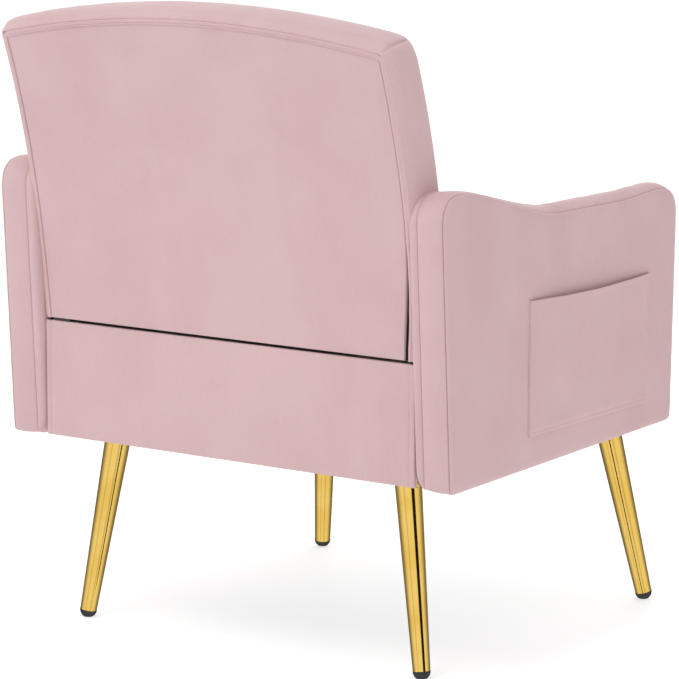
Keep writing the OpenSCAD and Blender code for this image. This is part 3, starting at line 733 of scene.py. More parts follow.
def panel_grid(loop):
    """A grid of 2-D points over the arm's side, closely spaced beside the seam."""
    bottom, rear, top, front = arm_edges(loop)
    across = spacing(length_of(bottom), NEAR_SEAM, PANEL_STEP)
    upward = spacing(length_of(rear), NEAR_SEAM, PANEL_STEP)
    return coons(spaced_by_length(bottom, across), spaced_by_length(top[::-1], across),
                 spaced_by_length(front[::-1], upward), spaced_by_length(rear, upward))


ARM_BORDER = np.vstack([ARM_LOOP, ARM_LOOP[:1]])
ARM_GRID = panel_grid(ARM_LOOP)
ARM_NEAREST, ARM_DEPTH = nearest_on(ARM_BORDER, ARM_GRID)
ARM_INWARD = (ARM_GRID - ARM_NEAREST) / np.maximum(ARM_DEPTH, 1e-7)[..., None]


def arm_crown(y, normal_z):
    """How far the padding swells the boxing at its middle: most on top, where an elbow rests
    between the arm's middle and its front, and least below."""
    top = np.interp(y, ARM_CROWN_Y, ARM_CROWN)
    side = np.interp(normal_z, [-1.0, -0.6, 0.0], [0.0008, 0.0022, 0.0046])
    on_top = smooth((normal_z - 0.2) / 0.75)
    return side * (1 - on_top) + top * on_top


def edge_turn(flat):
    """Cloth that leaves a seam on the arm's edge, runs flat for a way, and turns a right
    angle over the edge. Gives how far it has gone in across the edge and down the side, the
    cosine of its turn, and how much cloth that takes."""
    angle = np.clip((ARM_DEPTH - flat) / (ARM_EDGE * math.pi / 2), 0, 1) * math.pi / 2
    across = np.minimum(ARM_DEPTH, flat) + ARM_EDGE * np.sin(angle)
    down = ARM_EDGE * (1 - np.cos(angle))
    return across, down, np.cos(angle), flat + ARM_EDGE * math.pi / 2


def drawn_down(down, used, fade):
    """Depth below the outline of cloth past its turn, caught up with a flat panel at fade."""
    beyond = ARM_EDGE + (ARM_DEPTH - used) * (fade - ARM_EDGE) / (fade - used)
    return np.where(ARM_DEPTH < used, down, np.where(ARM_DEPTH < fade, beyond, ARM_DEPTH))


def on_arm_side(side, x, inset):
    """Points of a side panel, from how far out and how far inside the outline they lie."""
    flat = ARM_NEAREST + ARM_INWARD * inset[..., None]
    return np.dstack([side * x, flat[..., 0], flat[..., 1]])


def arm_outer_grid(side):
    """The panel on the arm's outer side, which turns over the edge up to its seam."""
    across, down, level, used = edge_turn(0.0)
    inset = drawn_down(down, used, 0.06) + (rolled(ARM_DEPTH, ARM_ROLL) - SEAM_LIFT) * level
    crown = 0.0012 * smooth(ARM_DEPTH / 0.08)
    wave = ripples(ARM_GRID, 11, 0.16, 0.00035) * smooth(ARM_DEPTH / 0.03)
    beside_seam = smooth(ARM_DEPTH / 0.006) * (1 - smooth(ARM_DEPTH / 0.03))
    pucker = ripples(ARM_GRID, 12, 0.028, 0.00022) * beside_seam
    return on_arm_side(side, ARM_OUT - ARM_EDGE + across + crown + wave + pucker, inset)


def arm_outer_panel(name, side):
    sewn(name, arm_outer_grid(side), (0, 0, 0.4))


def arm_boxing_grid(side):
    """The strip that runs right round the arm, crowned between its two seams."""
    step = 0.008
    parts = []
    for edge, sharp in zip(arm_edges(ARM_LOOP), ("both", "start", "none", "end")):
        shares = spacing(length_of(edge), [0, 0.0012, 0.003, 0.006], step, sharp)
        parts.append(spaced_by_length(edge, shares)[:-1])
    loop = np.vstack(parts)
    normal = outward(loop)
    across = spacing(BOXING_WIDTH, NEAR_SEAM[:-1], 0.006)
    reach = across * BOXING_WIDTH
    from_seam = np.minimum(reach, BOXING_WIDTH - reach)
    bulge = 1 - np.abs(2 * across - 1) ** 2.4
    lift = SEAM_LIFT * (1 - across)
    along = np.cumsum(np.full(len(loop), step))
    wave = ripples(strip_places(along, reach), 21, 0.05, 0.00025) * smooth(from_seam / 0.012)
    out = arm_crown(loop[:, 0], normal[:, 1])[:, None] * bulge + lift - rolled(from_seam, ARM_ROLL) + wave
    x = np.broadcast_to(ARM_OUT - ARM_EDGE - reach, out.shape)
    place = loop[:, None] + normal[:, None] * out[..., None]
    return np.dstack([side * x, place[..., 0], place[..., 1]])


def arm_boxing(name, side):
    sewn(name, arm_boxing_grid(side), (side * (ARM_OUT + ARM_IN) / 2, 0, 0.4),
         closed=True)


def arm_inner_grid(side):
    """The panel on the arm's inner side, which runs over the arm's edge up to its seam."""
    across, down, level, used = edge_turn(INNER_SEAM - ARM_EDGE)
    swell = 0.0022 * np.sin(np.pi * np.clip(ARM_DEPTH / used, 0, 1))
    inset = drawn_down(down, used, 0.16) + (rolled(ARM_DEPTH, ARM_ROLL) - swell) * level
    wave = ripples(ARM_GRID, 13, 0.12, 0.0003) * smooth(ARM_DEPTH / 0.03)
    return on_arm_side(side, ARM_IN + INNER_SEAM - across + 0.0006 + wave, inset)


def arm_inner_panel(name, side):
    sewn(name, arm_inner_grid(side), (side * ARM_OUT, 0, 0.4))


POCKET_EDGE = np.array([0, 0.0003, 0.0008, 0.0016, 0.0026, 0.0044, 0.0056, 0.0062, 0.0068, 0.0080,
                        0.011])
STITCH = 0.0062         # how far a pocket's stitched line lies inside its edge
STITCH_WIDTH = 0.0007
POCKET_CLOTH = 0.0016   # thickness of the pocket's cloth


def arm_pocket(name, side):
    """A patch pocket with turned edges, a stitched line inside the front and lower edges,
    and a mouth that stands open."""
    low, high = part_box("left_arm_pocket")
    low.y, high.y = low.y - 0.001, high.y + 0.004
    wide, tall = high.y - low.y, high.z - low.z
    near_mouth = np.array([0.0, 0.0006, 0.0016, 0.004, 0.010])
    middle = np.linspace(POCKET_EDGE[-1], tall - near_mouth[-1], 16)
    Y, Z = np.meshgrid(low.y + spacing(wide, POCKET_EDGE, 0.009) * wide,
                       low.z + np.concatenate([POCKET_EDGE[:-1], middle, tall - near_mouth[::-1][1:]]),
                       indexing="ij")
    from_front, from_foot, from_mouth = Y - low.y, Z - low.z, high.z - Z
    from_edge = np.minimum(np.minimum(from_front, high.y - Y), from_foot)
    u, v = from_front / wide, from_foot / tall
    bulge = 0.0058 * np.sin(np.pi * u) ** 0.8 * smooth(v * 1.1) ** 1.5 + 0.0009 * smooth(from_edge / 0.012)
    stand = 0.0026 - rolled(from_edge, POCKET_ROLL)
    from_stitch = (np.minimum(from_front, from_foot) - STITCH) / STITCH_WIDTH
    stitch = -0.0007 * np.exp(-from_stitch ** 2)
    lip = 0.0008 * (1 - smooth((from_mouth - 0.001) / 0.004)) * smooth(from_mouth / 0.001)
    wave = ripples(np.dstack([Y, Z]), 31, 0.09, 0.0005) * smooth(from_edge / 0.02)
    x = ARM_OUT + 0.0012 + stand + stitch + bulge + lip + wave
    # the mouth dips in its middle, and the pocket is sewn on a little out of square
    dip = 0.0026 * np.sin(np.pi * u) ** 1.2 * smooth(1 - from_mouth / 0.03)
    Z = Z - dip + 0.002 * v * (1 - u) - 0.004 * (1 - v) * u
    Y = Y - 0.005 * v * (1 - u)
    piece = cloth_from_grid(name, np.dstack([side * x, Y, Z]), (0, (low.y + high.y) / 2, 0.38),
                            thick=POCKET_CLOTH)
    finish_piece(piece, "chair", "velvet", name)


def welded_copy(cad_node):
    """A closed copy of a CAD node, to cut its room out of padding."""
    mesh = frame["nodes"][cad_node].data.copy()
    reworked(mesh, lambda work: bmesh.ops.remove_doubles(work, verts=work.verts, dist=1e-6))
    copy = bpy.data.objects.new("cutter", mesh)
    bpy.context.scene.collection.objects.link(copy)
    return copy


def filling(name, shells, voxel, gap, cutters):
    """Foam that fills the bag of the given grids, each with its closed flag and the point it
    looks away from, a little below the cloth, with room cut out of it."""
    parts = []
    for grid, closed, away in shells:
        parts.append(grid_object(name, grid, "foam", closed))
        point_out(parts[-1], away)
    pad = joined(name, parts)
    applied(pad, ("REMESH", {"mode": "VOXEL", "voxel_size": voxel, "use_smooth_shade": True}),
            ("DISPLACE", {"strength": -(CLOTH + gap), "mid_level": 0.0}))
    applied(pad, *[("BOOLEAN", {"object": cutter, "operation": "DIFFERENCE", "solver": "EXACT"})
                   for cutter in cutters])
    for cutter in cutters:
        bpy.data.objects.remove(cutter)
    return pad


def arm_padding(name, side, timbers):
    """Foam that fills the sewn cover, hollowed for the arm's timber."""
    shells = ((arm_outer_grid(side), False, (0, 0, 0.4)),
              (arm_boxing_grid(side), True, (side * (ARM_OUT + ARM_IN) / 2, 0, 0.4)),
              (arm_inner_grid(side), False, (side * ARM_OUT, 0, 0.4)))
    pad = filling(name + "_pad", shells, 0.004, 0.0012, [welded_copy(timber) for timber in timbers])
    finish_piece(pad, "chair", "foam", name)


for arm, side in (("left_arm_", 1), ("right_arm_", -1)):
    arm_padding(arm + "padding", side, [arm + "posts", arm + "rails"])
    arm_outer_panel(arm + "outer_panel", side)
    arm_boxing(arm + "boxing", side)
    arm_inner_panel(arm + "inner_panel", side)
    arm_pocket(arm + "pocket", side)


# ---------------------------------------------------------------- back

BACK_DEEP = corner("back_rear_panel", False).y - corner("back_front_panel", False).y + CLOTH
REAR_TOP = 0.8105       # apex of the back's top seam behind
FRONT_TOP = BACK_HIGH + 0.0136  # apex of the back's top seam in front
REAR_R = 0.008          # radius of the rear seam's corners
FRONT_R = 0.026         # radius of the front seam's corners
REAR_CURVE = (0.05, 0.440, 0.47)    # lean, height where the curve starts, and its strength
FRONT_CURVE = (0.04, 0.480, 0.57)   # the same for the front face
HALF_WIDTH_Z = (0.40, 0.45, 0.50, 0.60, 0.90)   # heights up the back
HALF_WIDTH = (0.290, 0.2932, 0.2954, 0.2970, 0.2970)    # its half width at each
BACK_MIDDLE = (0, 0, 0.6)       # a point in front of the rear face, at its middle


def back_half(z):
    """Half width of the back at a height: drawn in where it goes down between the arms."""
    return np.interp(z, HALF_WIDTH_Z, HALF_WIDTH)


def back_y(z, curve=REAR_CURVE):
    """Depth of the back's rear face at a height, from its level at the rail's seam."""
    lean, bend, strength = curve
    z = np.asarray(z, float)
    return RAIL_FACE + lean * np.maximum(0, z - SEAM_Z) + strength * np.maximum(0, z - bend) ** 2


def on_back(x, z, out=0.0, curve=REAR_CURVE):
    """A point of the back's rear face, or with the front's curve of its front face, from
    its place seen from behind and how far behind that face it stands."""
    slope = (back_y(z + 0.001, curve) - back_y(z - 0.001, curve)) / 0.002
    size = np.sqrt(1 + slope ** 2)
    y = back_y(z, curve) - (BACK_DEEP if curve is FRONT_CURVE else 0)
    return np.stack(np.broadcast_arrays(x, y + out / size, z - out * slope / size), axis=-1)


def back_path(top, radius, inset=0.0, low=BACK_LOW, fall=REAR_ARCH):
    """The back's edge from its lower left, over the arched top, to its lower right, as
    (x, z) points, with the places of both corners' middles."""
    reach = back_half(0.8) - radius
    centre_z = top - fall * reach ** 2 - radius
    turn = max(radius - inset, 0.0015)
    rise = np.linspace(low, centre_z, 60)
    side = np.column_stack([back_half(rise) - inset, rise])
    angles = np.radians(np.linspace(0, 79, 15))[1:]
    centre = np.array([reach + radius - inset - turn, centre_z + radius - inset - turn])
    bend = centre + turn * np.column_stack([np.cos(angles), np.sin(angles)])
    x = np.linspace(bend[-1, 0], 0, 40)[1:]
    arch = np.column_stack([x, top - inset - fall * x ** 2])
    half = np.vstack([side, bend, arch])
    half[:, 1] -= (WELT_TOP - 1) * inset * smooth((half[:, 1] - 0.70) / 0.08)
    whole = np.vstack([half, half[-2::-1] * [-1, 1]])
    left = len(side) + len(angles) // 2
    return whole, left, len(whole) - 1 - left


def slot_open(z):
    """How far the right edge of the rear panel stands back from the strip: the open zip."""
    foot = SEAM_Z + 0.02
    return UPRIGHT_SLOT * (1 - smooth((z - foot) / (ZIP_TOP - foot)))


def back_face_grid(path, left, right, near, step):
    """A grid of (x, z) points inside a back path, and their distance from its edge."""
    foot = np.array([path[0], path[-1]])
    across = spacing(length_of(foot), near, step)
    upward = spacing(length_of(path[:left + 1]), near, PANEL_STEP)
    grid = coons(spaced_by_length(foot, across), spaced_by_length(path[left:right + 1], across),
                 spaced_by_length(path[:left + 1], upward),
                 spaced_by_length(path[right:][::-1], upward))
    return grid, nearest_on(np.vstack([path, path[:1]]), grid)[1]


STRIP_SEAM = np.array([0, 0.0001, 0.0004, 0.0009, 0.0014, 0.0020, 0.0030, 0.0045, 0.007, 0.011,
                       0.017])


def rear_grid(seams=1.0):
    """The access flap: seamed to the flat strip on three sides, open along the zip."""
    path, left, right = back_path(REAR_TOP, REAR_R, WELT)
    path[right:, 0] += slot_open(path[right:, 1])
    grid, depth = back_face_grid(path, left, right, STRIP_SEAM, 0.011)
    x, z = grid[..., 0], grid[..., 1]
    past_seam = smooth(depth / 0.003)
    crown = 0.0032 * smooth(depth / 0.10) + 0.0012 * smooth(depth / 0.012)
    wave = ripples(grid * [1.0, 0.55], 41, 0.15, 0.0006) * smooth(depth / 0.05)
    top_pull = ripples(np.dstack([x, z * 0.2]), 42, 0.045, 0.0004) * smooth((z - 0.70) / 0.06)
    foot_pull = ripples(np.dstack([x, z * 0.3]), 43, 0.07, 0.0005) * (1 - smooth((z - 0.41) / 0.06))
    pucker = ripples(grid, 44, 0.022, 0.00025) * past_seam * (1 - smooth(depth / 0.03))
    out = crown + wave + top_pull * smooth(depth / 0.006) + foot_pull * past_seam + pucker
    return x, z, out - seams * rolled(depth)


def slab(name, grid, away, thick, slot):
    """A pad of even thickness that lies under a cover, on the same grid of points."""
    obj = grid_object(name + "_pad", grid, slot)
    point_out(obj, away)
    applied(obj, ("SOLIDIFY", {"thickness": thick, "offset": -1.0, "use_even_offset": False}),
            ("BEVEL", {"width": thick * 0.2, "segments": 2, "limit_method": "ANGLE", "angle_limit": 1.0}))
    finish_piece(obj, "chair", slot, name)


def back_rear_panel():
    x, z, out = rear_grid()
    sewn("back_rear_panel", on_back(x, z, out), BACK_MIDDLE)


def back_welt_strip():
    """The narrow flat strip between the rear panel's seam and the boxing's seam."""
    outer, inner = (back_path(REAR_TOP, REAR_R, inset)[0] for inset in (ROLL * SEAM_SINK - 0.001, WELT))
    shares = spacing(length_of(outer), [0, 0.001, 0.003], 0.006)
    outer, inner = spaced_by_length(outer, shares), spaced_by_length(inner, shares)
    width = WELT - ROLL * SEAM_SINK
    across = spacing(width, [0, 0.0001, 0.0004, 0.0009, 0.0015, 0.0021], 0.0010)
    flat = between(outer, inner, across)
    wave = ripples(strip_places(shares * length_of(outer), across * width), 45, 0.03, 0.0002)
    out = 0.0008 - rolled(np.minimum(across, 1 - across) * width, STRIP_ROLL) + wave
    sewn("back_welt_strip", on_back(flat[..., 0], flat[..., 1], out), BACK_MIDDLE,
         nodes=())


BOXING_MIDDLE = (0.0, float(back_y(0.6)) - BACK_DEEP / 2, 0.6)


def back_boxing_grid(seams=1.0):
    """The strip over the sides and the arched top, in three lengths seamed at the corners:
    its points where it is laid flat, its normals, how far it swells, and its shares across."""
    rear, left, right = back_path(REAR_TOP, REAR_R)
    near = [0, 0.0008, 0.002, 0.004, 0.007]
    side = spacing(length_of(rear[:left + 1]), near, 0.011, "end")
    top = spacing(length_of(rear[left:right + 1]), near, 0.011)
    rear, front = (np.vstack([spaced_by_length(path[:a + 1], side)[:-1],
                              spaced_by_length(path[a:b + 1], top)[:-1],
                              spaced_by_length(path[b:], 1 - side[::-1])])
                   for path, a, b in ((rear, left, right), back_path(FRONT_TOP, FRONT_R, fall=FRONT_ARCH)))
    mitres = (len(side) - 1, len(side) + len(top) - 2)
    across = spacing(BACK_DEEP, NEAR_SEAM[:-1], 0.007)
    rows = between(on_back(rear[:, 0], rear[:, 1]),
                   on_back(front[:, 0], front[:, 1], 0.0, FRONT_CURVE), across)
    normal = grid_normals(rows, BOXING_MIDDLE)
    reach = across * BACK_DEEP
    from_seam = np.minimum(reach, BACK_DEEP - reach)
    along = distances(rows[:, 0])
    from_corner = np.min([np.abs(along - along[mitre]) for mitre in mitres], axis=0)[:, None]
    bulge = (1 - np.abs(2 * across - 1) ** 2.6) * (0.0022 + 0.0026 * smooth(from_corner / 0.05))
    near_rear = (1 - across) * smooth(from_seam / 0.014)
    bulge = bulge + (0.0030 + 0.0052 * np.exp(-(from_corner / 0.06) ** 2)) * near_rear
    joint = -0.0030 * np.exp(-(from_corner / 0.0014) ** 2) * smooth(from_seam / 0.008)
    pull = ripples(strip_places(along, reach * 0.4), 46, 0.035, 0.00035)
    pull = pull * (np.exp(-from_corner / 0.03) + 0.3) * smooth(from_seam / 0.01)
    return rows, normal, bulge + seams * (joint - rolled(from_seam)) + pull, across


def back_boxing():
    rows, normal, out, _ = back_boxing_grid()
    sewn("back_boxing", rows + normal * out[..., None], BOXING_MIDDLE)


def front_grid(seams=1.0, extra=0.0):
    """The back's front face as points, crowned where a sitter leans, and its edge depth."""
    low = corner("back_front_panel", False)
    path, left, right = back_path(FRONT_TOP, FRONT_R, low=low.z, fall=FRONT_ARCH)
    grid, depth = back_face_grid(path, left, right, NEAR_SEAM, PANEL_STEP)
    x, z = grid[..., 0], grid[..., 1]
    lean = smooth((z - 0.44) / 0.16) * smooth((FRONT_TOP - z) / 0.11)
    crown = 0.019 * lean * (1 - np.abs(x / 0.30) ** 2.6) * smooth(depth / 0.06)
    crown = crown + 0.003 * smooth(depth / 0.02) * smooth((z - 0.40) / 0.08)
    wave = ripples(grid * [1.0, 0.6], 47, 0.14, 0.0007) * smooth(depth / 0.05)
    return on_back(x, z, seams * rolled(depth) + extra - crown - wave, FRONT_CURVE), depth


def back_pads():
    """What fills the back: foam in front, a foam strip round the edges, fibre behind."""
    grid, depth = front_grid(0.0, UNDER_COVER)
    middle_x, middle_z = depth.shape[0] // 2, depth.shape[1] // 2
    inside = np.ix_(depth[:, middle_z] > 0.0030, depth[middle_x] > 0.0030)
    slab("back_foam", grid[inside], (0, 0.5, 0.6), 0.023, "foam")

    rows, normal, out, across = back_boxing_grid(0.0)
    grid = rows + normal * (out - UNDER_COVER - 0.003)[..., None]
    inside = (across > 0.22) & (across < 0.60)
    slab("back_edge_foam", grid[:, inside], BOXING_MIDDLE, 0.009, "foam")

    x, z, out = rear_grid(0.0)
    grid = on_back(x, z, out - UNDER_COVER)
    foot, spine = grid[:, 0, 0], grid[len(grid) // 2, :, 2]
    inside = np.ix_(np.abs(foot) < 0.272, (spine > SEAM_Z + 0.014) & (spine < REAR_TOP - 0.018))
    slab("back_rear_padding", grid[inside], BACK_MIDDLE, 0.008, "fibre")


def back_front_panel():
    sewn("back_front_panel", front_grid()[0], (0, 0.5, 0.6))


back_pads()
back_rear_panel()
back_welt_strip()
back_boxing()
back_front_panel()


# ---------------------------------------------------------------- rail below the back

# distances of grid lines from the panel's ends and its lips, close beside folds and stitches
RAIL_ENDS = [0, 0.0003, 0.0009, 0.0018, 0.0030, 0.0050, 0.0062, 0.0068, 0.0072, 0.0076, 0.0082,
             0.0094, 0.012, 0.017]
RAIL_LIPS = [0, 0.0001, 0.0004, 0.0009, 0.0014, 0.0020, 0.0030, 0.005, 0.008]


def rear_rail_panel():
    """The panel under the flap, with a stitched line near each end and a folded lower edge."""
    low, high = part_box("rear_rail_panel")
    low.x, high.x = -ARM_IN - 0.0005, ARM_IN + 0.0005
    width, tall = high.x - low.x, high.z - low.z
    away = (0, 0, 0.33)
    X, Z = np.meshgrid(low.x + spacing(width, RAIL_ENDS, 0.012) * width,
                       low.z + spacing(tall, RAIL_LIPS, 0.010) * tall, indexing="ij")
    from_end = np.minimum(X - low.x, high.x - X)
    from_lip = np.minimum(Z - low.z, high.z - Z)
    crown = 0.0022 * smooth(from_end / 0.06) * smooth(from_lip / 0.05)
    line = -0.0011 * np.exp(-((from_end - WELT) / STITCH_WIDTH) ** 2)
    wave = ripples(np.dstack([X, Z * 0.4]), 51, 0.11, 0.0006) * smooth(from_lip / 0.02)
    pull = ripples(np.dstack([X, Z * 0.25]), 52, 0.04, 0.0003) * smooth(from_lip / 0.003)
    out = crown + line + wave * smooth(from_end / 0.02) + pull * smooth(from_end / 0.01)
    out = out - rolled(from_lip, FOLD_ROLL) - rolled(from_end, FOLD_ROLL)
    piece = cloth_from_grid("rear_rail_panel", np.dstack([X, RAIL_FACE + out, Z]), away)
    finish_piece(piece, "chair", "velvet", "rear_rail_panel")
    inside = np.ix_(from_end[:, 0] > 0.004, (Z[0] > low.z + 0.002) & (Z[0] < SEAM_Z - 0.014))
    grid = np.dstack([X, RAIL_FACE + crown - UNDER_COVER, Z])[inside]
    slab("rear_rail_padding", grid, away, 0.0115, "fibre")


rear_rail_panel()


# ---------------------------------------------------------------- zips

ZIP_PITCH = 0.0025      # length of one turn of the coil
ZIP_DEEP = 0.0062       # depth of a chain's middle below the cloth
TAPE_LINES = (0.0016, 0.0060, 0.0110)   # a tape's inner edge, middle and outer edge
TAPE_THICK = 0.0008
COIL_MIDDLE = 0.0012    # how far each coil's middle lies from the chain's
COIL_REACH = 0.0013     # half width of a coil across the zip
COIL_RISE = 0.0007      # half height of a coil
COIL_WIRE = 0.00035     # radius of the coil's wire
BEND_X = -0.2745        # where the back's zip leaves its level run
BEND_R = 0.0080         # radius of its turn upward


def ribbon(name, rows):
    """A flat woven tape from two or more lines of points."""
    obj = grid_object(name, np.stack(rows, axis=1), "zip_tape")
    return applied(obj, ("SOLIDIFY", {"thickness": TAPE_THICK, "offset": 0.0}))


def zip_chain(name, line, up, out):
    """Two tapes and two meshed coils along a line of points. up and out are unit vectors, or
    one for each point: across the zip, and out of the cloth."""
    up, out = np.broadcast_to(up, line.shape), np.broadcast_to(out, line.shape)
    turns = int(length_of(line) / ZIP_PITCH)
    t = np.linspace(0, turns, turns * 8 + 1)
    even = np.linspace(0, 1, len(line))
    centre = spaced_by_length(line, t / turns)
    ups, outs = (np.column_stack([np.interp(t / turns, even, column) for column in way.T])
                 for way in (up, out))
    pieces = []
    for side, start in ((-1, 0.0), (1, np.pi)):
        pieces.append(ribbon(name + "_tape", [line + up * side * reach - out * ZIP_DEEP
                                              for reach in TAPE_LINES]))
        angle = 2 * np.pi * t + start
        path = (centre + ups * side * (COIL_MIDDLE + COIL_REACH * np.cos(angle))[:, None]
                - outs * (ZIP_DEEP - COIL_RISE * np.sin(angle))[:, None])
        pieces.append(tube(name + "_coil", path, COIL_WIRE, "zip_tape", 5))
    return joined(name, pieces)


def level_line(start, end, y, z, count):
    """Points along X from start to end."""
    return np.column_stack([np.linspace(start, end, count), np.full(count, y), np.full(count, z)])


def back_zip():
    """The level run along the flap's lower edge, then up the flap's right edge."""
    level = level_line(corner("back_zip_tape", True).x, BEND_X, RAIL_FACE, SEAM_Z, 60)
    turn = np.radians(np.linspace(270, 180, 12))[1:]
    bend = np.column_stack([BEND_X + BEND_R * np.cos(turn), np.full(len(turn), RAIL_FACE),
                            SEAM_Z + BEND_R + BEND_R * np.sin(turn)])
    z = np.linspace(SEAM_Z + BEND_R, ZIP_TOP, 40)[1:]
    upright = np.column_stack([slot_open(z) / 2 + WELT - back_half(z), back_y(z), z])
    line = np.vstack([level, bend, upright])
    ahead = np.gradient(line, axis=0)
    ahead /= np.linalg.norm(ahead, axis=1)[:, None]
    out = np.array([0.0, 1.0, 0.0])
    up = np.cross(ahead, out)
    up /= np.linalg.norm(up, axis=1)[:, None]
    finish_piece(zip_chain("back_zip_chain", line, up, out), "chair", "zip_tape", "back_zip_tape")


def cushion_zip():
    low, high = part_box("cushion_zip_tape")
    line = level_line(high.x, low.x, corner("cushion_boxing", True).y, (low.z + high.z) / 2, 50)
    piece = zip_chain("cushion_zip_chain", line, np.array([0.0, 0.0, 1.0]), np.array([0.0, 1.0, 0.0]))
    finish_piece(piece, "seat_cushion", "zip_tape", "cushion_zip_tape")


back_zip()
cushion_zip()


# ---------------------------------------------------------------- seat base

BAND_R = 0.009          # radius of the band's front corners
FELT_NEAR = [0, 0.001, 0.003, 0.008]    # grid lines beside the deck pad's edges


def band_path(inset=0.0):
    """The seat's edge from its left rear, round the front, to its right rear, as (x, y)."""
    low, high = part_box("seat_band_cover")
    half, front = high.x - inset, low.y + inset
    r = BAND_R - min(inset, BAND_R - 0.002)
    turn = np.radians(np.linspace(0, 90, 9))
    bend = np.column_stack([half - r + r * np.cos(turn), front + r - r * np.sin(turn)])
    side = np.column_stack([np.full(40, half), np.linspace(high.y, front + r, 40)])[:-1]
    return np.vstack([side, bend, (bend * [-1, 1])[::-1], (side * [-1, 1])[::-1]])


def seat_band_cover():
    """Cloth round the front and sides: folded under below, drawn over the deck above."""
    low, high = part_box("seat_band_cover")
    tall = high.z - low.z
    plain = np.linspace(0.004, tall - 0.006, 12)
    over = tall + np.array([-0.0032, -0.0012, -0.0002, 0.0003, 0.0004, 0.0004])
    lift = np.concatenate([[0.0012, 0.0004, 0.0, 0.0003, 0.0016], plain, over])
    inset = np.concatenate([[0.0080, 0.0050, 0.0022, 0.0006, 0.0], np.zeros(len(plain)),
                            [0.0004, 0.0014, 0.0034, 0.0070, 0.0130, 0.0240]])
    flat = band_path()
    shares = spacing(length_of(flat), [0, 0.002, 0.005], 0.008)
    rows = []
    for rise, draw in zip(lift, inset):
        path = spaced_by_length(band_path(draw), shares)
        crown = math.sin(math.pi * min(max(rise / tall, 0), 1)) ** 0.8
        front = smooth((-path[:, 1] - 0.290) / 0.02)
        path[:, 1] -= 0.0030 * crown * front
        path[:, 0] += np.sign(path[:, 0]) * 0.0007 * crown * (1 - front)
        place = np.column_stack([path, np.full(len(path), rise * 0.5)])
        path[:, 1] -= ripples(place, 61, 0.09, 0.0004) * crown * front
        rows.append(np.column_stack([path, np.full(len(path), low.z + rise)]))
    piece = cloth_from_grid("seat_band_cover", np.stack(rows, axis=1), (0, 0, 0.29))
    finish_piece(piece, "chair", "velvet", "seat_band_cover")


def from_edges(X, Y, low, high):
    """How far each point lies inside a rectangle."""
    return np.minimum(np.minimum(X - low.x, high.x - X), np.minimum(Y - low.y, high.y - Y))


def seat_pads():
    """Wadding in front of the front rail, and felt over the springs."""
    low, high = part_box("front_padding")
    X, Z = np.meshgrid(np.linspace(low.x + 0.003, high.x - 0.003, 60),
                       np.linspace(low.z, high.z - 0.005, 14), indexing="ij")
    v = (Z - low.z) / (high.z - low.z)
    Y = low.y + 0.0002 - 0.0024 * np.sin(np.pi * v) ** 0.8
    slab("front_padding", np.dstack([X, Y, Z]), (0, 0.2, 0.29), 0.0055, "fibre")

    low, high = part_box("deck_pad")
    high.y += 0.012     # the felt runs on under the back
    wide, long = high.x - low.x, high.y - low.y
    X, Y = np.meshgrid(spacing(wide, FELT_NEAR, 0.014) * wide + low.x,
                       spacing(long, FELT_NEAR, 0.014) * long + low.y, indexing="ij")
    depth = from_edges(X, Y, low, high)
    Z = high.z - 0.0022 + 0.0022 * smooth(depth / 0.05) - 0.0030 * (1 - smooth(depth / 0.006))
    Z = Z + ripples(np.dstack([X, Y]), 62, 0.08, 0.0005) * smooth(depth / 0.03)
    slab("deck_pad", np.dstack([X, Y, np.minimum(Z, high.z)]), (0, 0, 0.2), 0.0050, "fibre")


def dust_cover():
    """Thin black cloth stapled under the frame, sagging a little, cut round the leg plates."""
    low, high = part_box("dust_cover")
    X, Y = np.meshgrid(np.linspace(low.x, high.x, 113), np.linspace(low.y, high.y, 107), indexing="ij")
    depth = from_edges(X, Y, low, high)
    sag = 0.0022 * smooth(depth / 0.14)
    sag = sag + np.abs(ripples(np.dstack([X, Y]), 63, 0.11, 0.0004)) * smooth(depth / 0.03)
    plates = np.array([v.co for v in frame["nodes"]["leg_plates"].data.vertices])[:, :2]
    holes = [plates[(plates * way > 0).all(axis=1)] for way in ((-1, -1), (-1, 1), (1, -1), (1, 1))]
    faces = []
    for face in grid_faces(*X.shape):
        centre = np.array([X.flat[list(face)].mean(), Y.flat[list(face)].mean()])
        if not any((p.min(0) - 0.002 < centre).all() and (centre < p.max(0) + 0.002).all() for p in holes):
            faces.append(face)
    points = np.dstack([X, Y, low.z + 0.0004 - sag]).reshape(-1, 3)
    obj = mesh_object("dust_cover_cloth", points, faces, "dust_cloth")
    reworked(obj.data, lambda work: bmesh.ops.delete(
        work, geom=[v for v in work.verts if not v.link_faces], context="VERTS"))
    point_out(obj, (0, 0, 1))
    applied(obj, ("SOLIDIFY", {"thickness": 0.0006, "offset": -1.0}))
    finish_piece(obj, "chair", "dust_cloth", "dust_cover")


seat_band_cover()
seat_pads()
dust_cover()


# ---------------------------------------------------------------- seat cushion

CUSHION_CAP = 0.024     # farthest that the filled cushion may swell at any point
CUSHION_PRESSURE = 4.0
CUSHION_STEPS = 20      # steps of the simulation that fills it
CUSHION_FRONT_R = 0.026     # radius of its front corners
CUSHION_REAR_R = 0.006  # and of its rear ones
CUSHION_LOW = corner("cushion_bottom_panel", False).z
CUSHION_HIGH = corner("cushion_top_panel", True).z
CUSHION_TALL = CUSHION_HIGH - CUSHION_LOW
CUSHION_REAR = corner("cushion_boxing", True).y
CUSHION_ZIP_Z = (corner("cushion_zip_tape", False).z + corner("cushion_zip_tape", True).z) / 2
CUSHION_ZIP_V = (CUSHION_ZIP_Z - CUSHION_LOW) / CUSHION_TALL    # its place up the boxing
CUSHION_ZIP_HALF = corner("cushion_zip_tape", True).x   # half its zip's length


